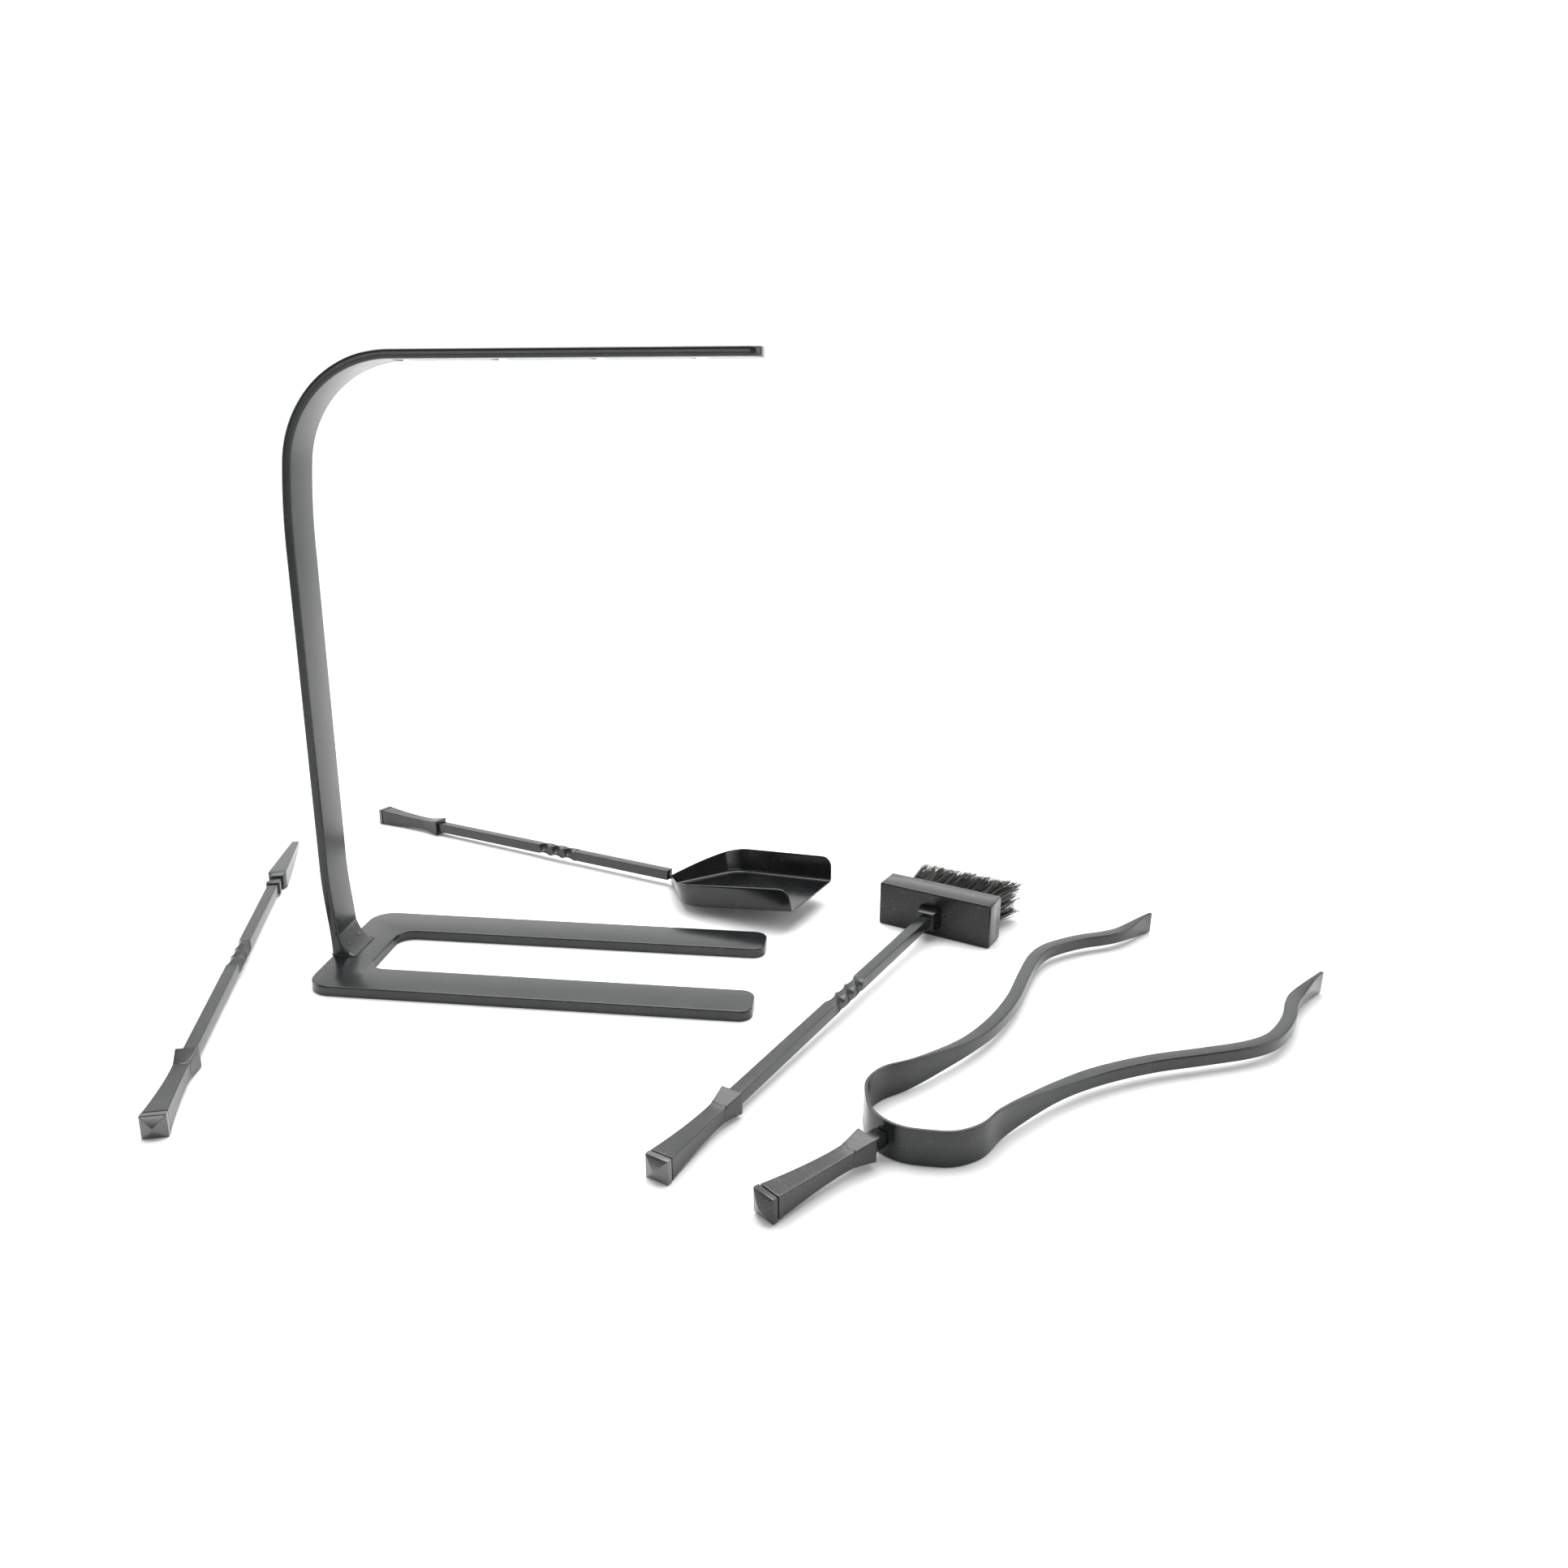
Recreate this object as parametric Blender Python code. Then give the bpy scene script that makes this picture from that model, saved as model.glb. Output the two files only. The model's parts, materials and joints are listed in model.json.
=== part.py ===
"""Fireplace tool set: a C-shaped stand with a forked base, and a poker, a shovel, a brush and tongs.

Metres, +Z up. The origin is on the floor, in the middle of the strip of plate that the upright stands on.
+X runs along the stand's arm and base legs, +Y towards the open ends of the arm's slots.
The tools lie on the floor round the stand. Each is built along its own +X axis, from the cap's back edge (x = 0),
and its empty puts it in its place.
"""

from math import cos, pi, radians, sin

import bmesh
import bpy
from mathutils import Vector

# Driving dimensions.
GAP = 0.0003
BAR = 0.0125
STAND_HEIGHT = 0.644
STRIP_WIDTH = 0.051
STRIP_THICKNESS = 0.0095
PLATE_THICKNESS = 0.0114
PLATE_BACK = -0.0247
PLATE_FRONT = 0.448
PLATE_HALF_WIDTH = 0.097
LEG_WIDTH = 0.048
PLATE_CORNER = 0.026
SLOT_CORNER = 0.019
LEG_CORNER = 0.014
ARM_END = 0.445
ARM_CORNER = 0.014

UPRIGHT_BACK = -0.031
LEAN_RADIUS = 0.700
LEAN_ANGLE = radians(6.9)
BEND_RADIUS = 0.118
FOOT_LENGTH = 0.0325
FOOT_RISE = 0.060
FOOT_TUCK = 0.0055
FOOT_TUCK_RISE = 0.100

HANGING_SLOTS = 4
HANGING_FIRST = 0.094
HANGING_PITCH = 0.097
HANGING_WIDTH = 0.0140
HANGING_DEPTH = 0.0330

CAP_WIDTH = 0.0220
CAP_PLATE = 0.0055
CAP_POINT = 0.0042
CAP_GROOVE = 0.0016
GRIP_END = 0.113
GRIP_WIDTH = 0.0212
GRIP_WAIST = 0.0142
GRIP_WAIST_AT = 0.080
GRIP_FACET_AT = 0.0925
GRIP_FACET = 0.0148
SOCKET_DEPTH = 0.016
STUD_RADIUS = 0.0040
STUD_LENGTH = 0.018

TWIST_START = 0.297
TWIST_LENGTH = 0.063
TWIST_TURN = -1.5 * pi
TWIST_STEPS = 27


def clear_scene():
    """Remove everything that the startup scene holds."""
    for obj in list(bpy.data.objects):
        bpy.data.objects.remove(obj, do_unlink=True)


def material(name, colour, roughness, metallic):
    """A Principled material of one colour."""
    mat = bpy.data.materials.new(name)
    mat.use_nodes = True
    shader = mat.node_tree.nodes["Principled BSDF"]
    shader.inputs["Base Color"].default_value = (*colour, 1.0)
    shader.inputs["Roughness"].default_value = roughness
    shader.inputs["Metallic"].default_value = metallic
    return mat


def add_object(name, mesh, mat, parent=None):
    """Put a mesh into the scene as a named object."""
    mesh.materials.append(mat)
    obj = bpy.data.objects.new(name, mesh)
    bpy.context.scene.collection.objects.link(obj)
    obj.parent = parent
    return obj


def add_mesh(name, verts, faces, mat, parent=None):
    """A closed mesh from points and faces, with its faces turned outwards."""
    mesh = bpy.data.meshes.new(name)
    mesh.from_pydata([tuple(v) for v in verts], [], faces)
    bm = bmesh.new()
    bm.from_mesh(mesh)
    bmesh.ops.recalc_face_normals(bm, faces=bm.faces)
    bm.to_mesh(mesh)
    bm.free()
    return add_object(name, mesh, mat, parent)


def add_empty(name, location, rotation):
    """An empty that places a tool or marks a joint's axis."""
    empty = bpy.data.objects.new(name, None)
    empty.empty_display_size = 0.03
    empty.location = location
    empty.rotation_euler = rotation
    bpy.context.scene.collection.objects.link(empty)
    return empty


def loft(name, sections, mat, parent=None):
    """A solid through sections that have the same number of points, closed by a flat face at each end."""
    count = len(sections[0])
    verts = [point for section in sections for point in section]
    faces = [tuple(range(count)), tuple(range(len(verts) - count, len(verts)))]
    for ring in range(len(sections) - 1):
        for side in range(count):
            a = ring * count + side
            b = ring * count + (side + 1) % count
            faces.append((a, b, b + count, a + count))
    return add_mesh(name, verts, faces, mat, parent)


def square(x, half, half_height=None, turn=0.0):
    """The four corners of a rectangle across the X axis, turned about it."""
    tall = half if half_height is None else half_height
    corners = [(-half, -tall), (half, -tall), (half, tall), (-half, tall)]
    return [(x, y * cos(turn) - z * sin(turn), y * sin(turn) + z * cos(turn)) for y, z in corners]


def box(name, low, high, mat, parent=None):
    """A box between two corners."""
    sections = []
    for x in (low[0], high[0]):
        sections.append([(x, low[1], low[2]), (x, high[1], low[2]), (x, high[1], high[2]), (x, low[1], high[2])])
    return loft(name, sections, mat, parent)


def rod(name, start, end, radius, mat, parent=None, sides=20):
    """A round rod between two points. The radius may be a list of (fraction of the length, radius)."""
    a, b = Vector(start), Vector(end)
    along = (b - a).normalized()
    across = along.orthogonal().normalized()
    other = along.cross(across)
    steps = radius if isinstance(radius, list) else [(0.0, radius), (1.0, radius)]
    sections = []
    for part, r in steps:
        middle = a.lerp(b, part)
        angles = [2 * pi * i / sides for i in range(sides)]
        sections.append([middle + across * (r * cos(t)) + other * (r * sin(t)) for t in angles])
    return loft(name, sections, mat, parent)


def cut(obj, cutter):
    """Cut one object out of another and hide the cutter."""
    cutter.hide_render = True
    cutter.display_type = "WIRE"
    cutter.name = "cutter_" + cutter.name
    modifier = obj.modifiers.new("cut", "BOOLEAN")
    modifier.operation = "DIFFERENCE"
    modifier.solver = "EXACT"
    modifier.object = cutter


def arc(cx, cy, radius, start, end, steps):
    """Points on an arc, with the angles in degrees."""
    points = []
    for i in range(steps + 1):
        angle = radians(start + (end - start) * i / steps)
        points.append((cx + radius * cos(angle), cy + radius * sin(angle)))
    return points


def extrude_z(name, outline, low, high, mat):
    """A plate with the given outline."""
    return loft(name, [[(x, y, z) for x, y in outline] for z in (low, high)], mat)


# ---------------------------------------------------------------- stand


def fork_outline():
    """The base plate's outline: a strip across the back and two legs forward, with rounded corners."""
    back, front, wide = PLATE_BACK, PLATE_FRONT, PLATE_HALF_WIDTH
    inner, slot_end = wide - LEG_WIDTH, -PLATE_BACK
    r, s, e = PLATE_CORNER, SLOT_CORNER, LEG_CORNER
    half = []
    half += arc(slot_end + s, inner - s, s, 180, 90, 4)
    half += arc(front - e, inner + e, e, 270, 360, 4)
    half += arc(front - e, wide - e, e, 0, 90, 4)
    half += arc(back + r, wide - r, r, 90, 180, 6)
    return half + [(x, -y) for x, y in reversed(half)]


def strip_centre():
    """The C-bar's profile in XZ, as (outer point, inner point) pairs from the foot up to the arm's end."""
    pairs = []
    thick = STRIP_THICKNESS
    low = PLATE_THICKNESS + GAP
    foot_steps = 10
    for i in range(foot_steps + 1):
        up = i / foot_steps
        z = low + FOOT_TUCK_RISE * up
        tuck = FOOT_TUCK * 0.5 * (1 + cos(pi * up))
        above = min(1.0, (z - low) / FOOT_RISE)
        flare = (FOOT_LENGTH - thick) * (1 - (1 - (1 - above) ** 2) ** 0.5)
        outer = UPRIGHT_BACK + tuck
        pairs.append(((outer, z), (max(outer + thick, UPRIGHT_BACK + thick + flare), z)))
    top = STAND_HEIGHT
    lean_x = LEAN_RADIUS * (1 - cos(LEAN_ANGLE))
    lean_z = LEAN_RADIUS * sin(LEAN_ANGLE)
    bend_x = UPRIGHT_BACK + lean_x + BEND_RADIUS * cos(LEAN_ANGLE)
    bend_z = top - BEND_RADIUS
    lean_start = bend_z + BEND_RADIUS * sin(LEAN_ANGLE) - lean_z
    for i in range(5):
        a = LEAN_ANGLE * i / 4
        x = UPRIGHT_BACK + LEAN_RADIUS * (1 - cos(a))
        z = lean_start + LEAN_RADIUS * sin(a)
        pairs.append(((x, z), (x + thick * cos(a), z - thick * sin(a))))
    for i in range(1, 15):
        a = LEAN_ANGLE + (pi / 2 - LEAN_ANGLE) * i / 14
        outer = (bend_x - BEND_RADIUS * cos(a), bend_z + BEND_RADIUS * sin(a))
        pairs.append((outer, (outer[0] + thick * cos(a), outer[1] - thick * sin(a))))
    pairs.append(((ARM_END - ARM_CORNER, top), (ARM_END - ARM_CORNER, top - thick)))
    return pairs


def build_stand(steel, screw_steel):
    """The forked base plate, the C-bar with its hanging slots, and the two screws that join them."""
    fork = extrude_z("base_fork", fork_outline(), 0.0, PLATE_THICKNESS, steel)
    pairs = strip_centre()
    half = STRIP_WIDTH / 2
    sections = []
    for (ox, oz), (ix, iz) in pairs:
        sections.append([(ox, -half, oz), (ox, half, oz), (ix, half, iz), (ix, -half, iz)])
    low = STAND_HEIGHT - STRIP_THICKNESS
    for x, y in arc(ARM_END - ARM_CORNER, half - ARM_CORNER, ARM_CORNER, 90, 0, 5)[1:]:
        sections.append([(x, -y, STAND_HEIGHT), (x, y, STAND_HEIGHT), (x, y, low), (x, -y, low)])
    bar = loft("stand_bar", sections, steel)
    for i in range(HANGING_SLOTS):
        x = HANGING_FIRST + HANGING_PITCH * i
        low = (x - HANGING_WIDTH / 2, half - HANGING_DEPTH, STAND_HEIGHT - 2 * STRIP_THICKNESS)
        high = (x + HANGING_WIDTH / 2, half + 0.01, STAND_HEIGHT + STRIP_THICKNESS)
        cut(bar, box("hanging_slot_%d" % (i + 1), low, high, steel))
    middle = UPRIGHT_BACK + FOOT_TUCK + 0.5 * (FOOT_LENGTH - FOOT_TUCK)
    head, shank, reach = 0.0052, 0.0030, 0.010
    for side, name in ((-1, "foot_screw_near"), (1, "foot_screw_far")):
        y = side * STRIP_WIDTH / 4
        top = PLATE_THICKNESS + reach
        for target, end in ((fork, PLATE_THICKNESS + 0.01), (bar, top + 0.001)):
            base = (middle, y, -0.001)
            cutter = rod(name + "_hole", base, (middle, y, end), shank + GAP, steel)
            cut(target, cutter)
        cut(fork, rod(name + "_bore", (middle, y, -0.001), (middle, y, 0.0060), head + GAP, steel))
        length = top - 0.0008
        step = (0.0060 - GAP - 0.0008) / length
        profile = [(0.0, head), (step, head), (step + 0.0001, shank), (1.0, shank)]
        rod(name, (middle, y, 0.0008), (middle, y, top), profile, screw_steel)


# ---------------------------------------------------------------- handles and shafts


def grip_half(x):
    """Half the grip's width at x: a long hollow taper to the waist, then a short flare to a flat collar."""
    start = CAP_PLATE + CAP_GROOVE
    waist, facet, full = GRIP_WAIST / 2, GRIP_FACET / 2, GRIP_WIDTH / 2
    if x <= GRIP_WAIST_AT:
        return waist + (full - waist) * ((GRIP_WAIST_AT - x) / (GRIP_WAIST_AT - start)) ** 1.7
    if x <= GRIP_FACET_AT:
        return waist + (facet - waist) * ((x - GRIP_WAIST_AT) / (GRIP_FACET_AT - GRIP_WAIST_AT)) ** 2
    return facet + (full - facet) * ((x - GRIP_FACET_AT) / (GRIP_END - GRIP_FACET_AT)) ** 0.9


def build_handle(tool, parent, steel, screw_steel, socket_half):
    """A tool's end cap, the stud inside it, and its grip with the socket that the shaft goes into."""
    half = CAP_WIDTH / 2
    cap = loft(
        tool + "_cap",
        [square(-CAP_POINT, 0.0004), square(0.0, half), square(CAP_PLATE, half)],
        steel,
        parent,
    )
    start = CAP_PLATE + CAP_GROOVE
    stations = [start + (GRIP_WAIST_AT - start) * i / 9 for i in range(10)]
    stations += [0.5 * (GRIP_WAIST_AT + GRIP_FACET_AT), GRIP_FACET_AT]
    stations += [GRIP_FACET_AT + (GRIP_END - GRIP_FACET_AT) * i / 3 for i in (1, 2, 3)]
    grip = loft(tool + "_grip", [square(x, grip_half(x)) for x in stations], steel, parent)
    stud_start = CAP_PLATE - 0.004
    stud_end = stud_start + STUD_LENGTH
    rod(tool + "_cap_stud", (stud_start, 0, 0), (stud_end, 0, 0), STUD_RADIUS, screw_steel, parent)
    bore = STUD_RADIUS + GAP
    cut(cap, rod(tool + "_cap_hole", (stud_start - GAP, 0, 0), (0.02, 0, 0), bore, steel, parent))
    cut(grip, rod(tool + "_grip_hole", (0.0, 0, 0), (stud_end + GAP, 0, 0), bore, steel, parent))
    socket = socket_half + GAP
    low = (GRIP_END - SOCKET_DEPTH, -socket, -socket)
    cut(grip, box(tool + "_socket", low, (GRIP_END + 0.01, socket, socket), steel, parent))


def build_shaft(tool, parent, end, steel):
    """A square bar from inside the grip to its end, with one stretch twisted by three quarters of a turn."""
    half = BAR / 2
    sections = [square(GRIP_END - SOCKET_DEPTH + GAP, half), square(TWIST_START, half)]
    for i in range(1, TWIST_STEPS + 1):
        part = i / TWIST_STEPS
        sections.append(square(TWIST_START + TWIST_LENGTH * part, half, None, TWIST_TURN * part))
    # Three quarter turns bring the square back onto itself, so the last ring only carries on straight.
    sections.append(square(end, half, None, TWIST_TURN))
    return loft(tool + "_shaft", sections, steel, parent)


def tool_empty(tool, location, heading, rise):
    """The empty at a tool's cap: its +X axis points along the tool, heading and rise in degrees."""
    return add_empty(tool + "_place", location, (0.0, -radians(rise), radians(heading)))


# ---------------------------------------------------------------- poker

POKER_PLACE = (-0.0291, -0.3559, CAP_WIDTH / 2)
POKER_HEADING = 107.13
POKER_RING_AT = 0.5275
POKER_RING_LENGTH = 0.009
POKER_RING_WIDTH = 0.0166
POKER_TIP_AT = 0.5505
POKER_TIP_END = 0.697


def build_poker(steel, screw_steel):
    """The poker: handle, twisted shaft, a small square ring and the long pointed tip."""
    place = tool_empty("poker", POKER_PLACE, POKER_HEADING, 0.0)
    build_handle("poker", place, steel, screw_steel, BAR / 2)
    build_shaft("poker", place, POKER_TIP_AT - GAP, steel)
    ring_end = POKER_RING_AT + POKER_RING_LENGTH
    wide, hole = POKER_RING_WIDTH / 2, BAR / 2 + GAP
    ring = loft("poker_ring", [square(POKER_RING_AT, wide), square(ring_end, wide)], steel, place)
    low = (POKER_RING_AT - 0.01, -hole, -hole)
    cut(ring, box("poker_ring_hole", low, (ring_end + 0.01, hole, hole), steel, place))
    nose = 0.0042
    sections = [
        square(POKER_TIP_AT, 0.0085),
        square(POKER_TIP_AT + 0.010, CAP_WIDTH / 2),
        square(POKER_TIP_AT + 0.014, CAP_WIDTH / 2),
        square(POKER_TIP_END - 0.006, nose + 0.0008, nose),
        square(POKER_TIP_END - 0.002, nose - 0.0006, nose - 0.001),
        square(POKER_TIP_END, 0.0014, 0.0016),
    ]
    loft("poker_tip", sections, steel, place)


# ---------------------------------------------------------------- shovel

SHOVEL_HEADING = -22.5
SHOVEL_RISE = 0.45
SHOVEL_PLACE = (-0.1606, 0.4444, CAP_WIDTH / 2)
SHOVEL_SHAFT_END = 0.5062
PAN_AT = (0.5105, 0.0, -0.0148)
PAN_PITCH = 7.3
PAN_BACK = 0.0590
PAN_BACK_HALF = 0.0665
PAN_FRONT_HALF = 0.0545
PAN_LENGTH = 0.2010
PAN_WALL = 0.0295
PAN_WALL_AT_SHAFT = 0.0110
PAN_LEAN = 0.21
PAN_CORNER = 0.018
PAN_SHEET = 0.0022


def pan_path():
    """The pan's wall line in plan, as (x, y, wall height), from the front round the back to the front."""
    corner = PAN_CORNER
    slope = PAN_BACK_HALF / PAN_BACK
    length = (PAN_BACK**2 + PAN_BACK_HALF**2) ** 0.5
    away = (PAN_BACK - corner * PAN_BACK / length, PAN_BACK_HALF - corner * PAN_BACK_HALF / length)
    along = (PAN_BACK + corner, PAN_BACK_HALF)
    half = [(0.0, 0.0, PAN_WALL_AT_SHAFT), (0.004, 0.004 * slope, PAN_WALL_AT_SHAFT + 0.001)]
    for i in range(6):
        t = i / 5
        x = (1 - t) ** 2 * away[0] + 2 * t * (1 - t) * PAN_BACK + t * t * along[0]
        y = (1 - t) ** 2 * away[1] + 2 * t * (1 - t) * PAN_BACK_HALF + t * t * along[1]
        rise = min(1.0, x / (PAN_BACK + corner))
        half.append((x, y, PAN_WALL_AT_SHAFT + (PAN_WALL - PAN_WALL_AT_SHAFT) * rise))
    half.append((PAN_LENGTH - 0.012, PAN_FRONT_HALF, PAN_WALL))
    half.append((PAN_LENGTH - 0.004, PAN_FRONT_HALF, PAN_WALL - 0.003))
    half.append((PAN_LENGTH, PAN_FRONT_HALF, PAN_WALL - 0.010))
    return [(x, -y, h) for x, y, h in reversed(half[1:])] + half


def build_pan(parent, steel):
    """The shovel's pan: one folded sheet, with leaning walls round the back and sides and an open front."""
    path = pan_path()
    count = len(path)
    outer_low, outer_top, inner_top, inner_low = [], [], [], []
    for i, (x, y, height) in enumerate(path):
        ax, ay, _ = path[max(i - 1, 0)]
        bx, by, _ = path[min(i + 1, count - 1)]
        length = ((bx - ax) ** 2 + (by - ay) ** 2) ** 0.5
        nx, ny = -(by - ay) / length, (bx - ax) / length
        if i in (0, count - 1):
            nx, ny = 0.0, (1 if y > 0 else -1)
        nx, ny = (nx, ny) if nx * (x - PAN_BACK) + ny * y > 0 else (-nx, -ny)
        out = height * PAN_LEAN
        sheet = PAN_SHEET
        outer_low.append((x, y, 0.0))
        outer_top.append((x + nx * out, y + ny * out, height))
        inner_top.append((x + nx * (out - sheet), y + ny * (out - sheet), height))
        inner_low.append((x - nx * sheet, y - ny * sheet, sheet))
    rows = [outer_low, outer_top, inner_top, inner_low]
    verts = [v for row in rows for v in row]
    faces = [tuple(range(count)), tuple(range(3 * count, 4 * count))]
    for row in range(3):
        for i in range(count - 1):
            a = row * count + i
            faces.append((a, a + 1, a + 1 + count, a + count))
    last = count - 1
    faces.append((0, count, 2 * count, 3 * count))
    faces.append((last, last + count, last + 2 * count, last + 3 * count))
    faces.append((0, 3 * count, 3 * count + last, last))
    pan = add_mesh("shovel_pan", verts, faces, steel, parent)
    pan.location = PAN_AT
    pan.rotation_euler = (0.0, -radians(PAN_PITCH - SHOVEL_RISE), 0.0)
    return pan


def build_shovel(steel, screw_steel):
    """The shovel: handle, twisted shaft and pan."""
    place = tool_empty("shovel", SHOVEL_PLACE, SHOVEL_HEADING, SHOVEL_RISE)
    build_handle("shovel", place, steel, screw_steel, BAR / 2)
    build_shaft("shovel", place, SHOVEL_SHAFT_END, steel)
    build_pan(place, steel)


# ---------------------------------------------------------------- brush

BRUSH_HEADING = 64.57
BRUSH_RISE = 1.424
BRUSH_PLACE = (0.3989, -0.3602, CAP_WIDTH / 2)
HEAD_AT = 0.5495
HEAD_DEPTH = 0.034
HEAD_HALF = 0.0685
HEAD_HEIGHT = 0.0530
HEAD_RAISE = 0.0019
HEAD_WALL = 0.0016
HEAD_SHIFT = -0.0033
FERRULE_LENGTH = 0.017
FERRULE_HALF = 0.0125
FERRULE_FRONT_HALF = 0.0100
BRISTLE_LENGTH = 0.072
BRISTLE_HALF = 0.055
BRISTLE_FAN = 0.006
BRISTLE_LEAN = -0.0065


def build_brush(steel, screw_steel, wood, bristle):
    """The brush: handle, twisted shaft, ferrule, hollow head, the block inside it and the bristles."""
    place = tool_empty("brush", BRUSH_PLACE, BRUSH_HEADING, BRUSH_RISE)
    build_handle("brush", place, steel, screw_steel, BAR / 2)
    build_shaft("brush", place, HEAD_AT - GAP, steel)
    ferrule_start = HEAD_AT - FERRULE_LENGTH
    ferrule = loft(
        "brush_ferrule",
        [square(ferrule_start, FERRULE_FRONT_HALF), square(HEAD_AT - GAP, FERRULE_HALF)],
        steel,
        place,
    )
    hole = BAR / 2 + GAP
    low = (ferrule_start - 0.01, -hole, -hole)
    cut(ferrule, box("brush_ferrule_hole", low, (HEAD_AT + 0.01, hole, hole), steel, place))
    bottom, top = HEAD_RAISE - HEAD_HEIGHT / 2, HEAD_RAISE + HEAD_HEIGHT / 2
    back = HEAD_AT + HEAD_DEPTH
    right, left = HEAD_SHIFT - HEAD_HALF, HEAD_SHIFT + HEAD_HALF
    head = box("brush_head", (HEAD_AT, right, bottom), (back, left, top), steel, place)
    wall = HEAD_WALL
    low = (HEAD_AT + wall, right + wall, bottom + wall)
    cut(head, box("brush_head_hollow", low, (back + 0.01, left - wall, top - wall), steel, place))
    inset = wall + GAP
    low = (HEAD_AT + inset, right + inset, bottom + inset)
    block_back = back - 0.006
    box("brush_block", low, (block_back, left - inset, top - inset), wood, place)
    root, tip = block_back + GAP, back + BRISTLE_LENGTH
    root_tall, tip_tall = 0.0165, 0.0185
    sections = []
    for i in range(5):
        t = i / 4
        half = BRISTLE_HALF + BRISTLE_FAN * t**1.5
        ring = square(root + (tip - root) * t, half, root_tall + (tip_tall - root_tall) * t)
        lean = HEAD_SHIFT + BRISTLE_LEAN * (0.3 + 0.7 * t)
        sections.append([(x, y + lean, z + HEAD_RAISE) for x, y, z in ring])
    loft("brush_bristles", sections, bristle, place)


# ---------------------------------------------------------------- tongs

TONGS_HEADING = 46.64
TONGS_RISE = -0.40
TONGS_PLACE = (0.4862, -0.3960, 0.0179)
HANDLE_DROOP = 2.3
NECK_LENGTH = 0.0162
NECK_GAP = 0.0006
STRAP_THICKNESS = 0.0030
STRAP_HEIGHT = 0.0330
ARM_HEIGHT = 0.0125
ARM_THICKNESS = 0.0130
ARM_TIP_HEIGHT = 0.0240
ARM_TIP_THICKNESS = 0.0040
BOW_AT = GRIP_END + NECK_LENGTH + NECK_GAP + STRAP_THICKNESS / 2
HINGE_GAP = 0.0006

# Half of the tongs' centre line in plan: round the back of the bow, the waist, the wide arm and the tip.
ARM_LINE = [
    (BOW_AT, 0.0),
    (BOW_AT + 0.0035, 0.0170),
    (0.146, 0.0325),
    (0.164, 0.0490),
    (0.190, 0.0552),
    (0.222, 0.0500),
    (0.262, 0.0488),
    (0.305, 0.0507),
    (0.352, 0.0590),
    (0.405, 0.0766),
    (0.455, 0.1002),
    (0.498, 0.1195),
    (0.530, 0.1268),
    (0.560, 0.1240),
    (0.588, 0.1168),
    (0.613, 0.1070),
    (0.640, 0.1008),
    (0.696, 0.0988),
]
HINGE_POINT = 3


def smooth_line(points, steps):
    """A Catmull-Rom curve through the points, as position and direction pairs, mirrored past its first point."""
    first = (points[1][0], -points[1][1])
    last = (2 * points[-1][0] - points[-2][0], 2 * points[-1][1] - points[-2][1])
    knots = [first] + points + [last]
    line = []
    for k in range(1, len(knots) - 2):
        p0, p1, p2, p3 = (Vector(knots[k + j]) for j in (-1, 0, 1, 2))
        for i in range(steps):
            t = i / steps
            spot = 0.5 * (2 * p1 + (p2 - p0) * t + (2 * p0 - 5 * p1 + 4 * p2 - p3) * t**2
                          + (3 * p1 - p0 - 3 * p2 + p3) * t**3)
            slope = 0.5 * ((p2 - p0) + 2 * (2 * p0 - 5 * p1 + 4 * p2 - p3) * t
                           + 3 * (3 * p1 - p0 - 3 * p2 + p3) * t**2)
            line.append((spot, slope.normalized()))
    line.append((Vector(points[-1]), Vector((1.0, 0.0))))
    return line


def ease(x, start, end):
    """0 before start, 1 after end, and a smooth step between."""
    t = min(1.0, max(0.0, (x - start) / (end - start)))
    return t * t * (3 - 2 * t)


def arm_section(spot, slope, side):
    """The four corners of the strap or arm at one place on its line, across the line."""
    bar_part = ease(spot.x, 0.185, 0.325)
    thick = STRAP_THICKNESS + (ARM_THICKNESS - STRAP_THICKNESS) * ease(spot.x, 0.215, 0.345)
    tall = STRAP_HEIGHT + (ARM_HEIGHT - STRAP_HEIGHT) * bar_part
    tip_part = ease(spot.x, 0.632, 0.690)
    thick += (ARM_TIP_THICKNESS - thick) * tip_part
    tall += (ARM_TIP_HEIGHT - tall) * tip_part
    normal = Vector((-slope.y, slope.x))
    corners = []
    for across, up in ((-0.5, -0.5), (0.5, -0.5), (0.5, 0.5), (-0.5, 0.5)):
        point = spot + normal * (across * thick)
        corners.append((point.x, side * point.y, up * tall))
    return corners


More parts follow.
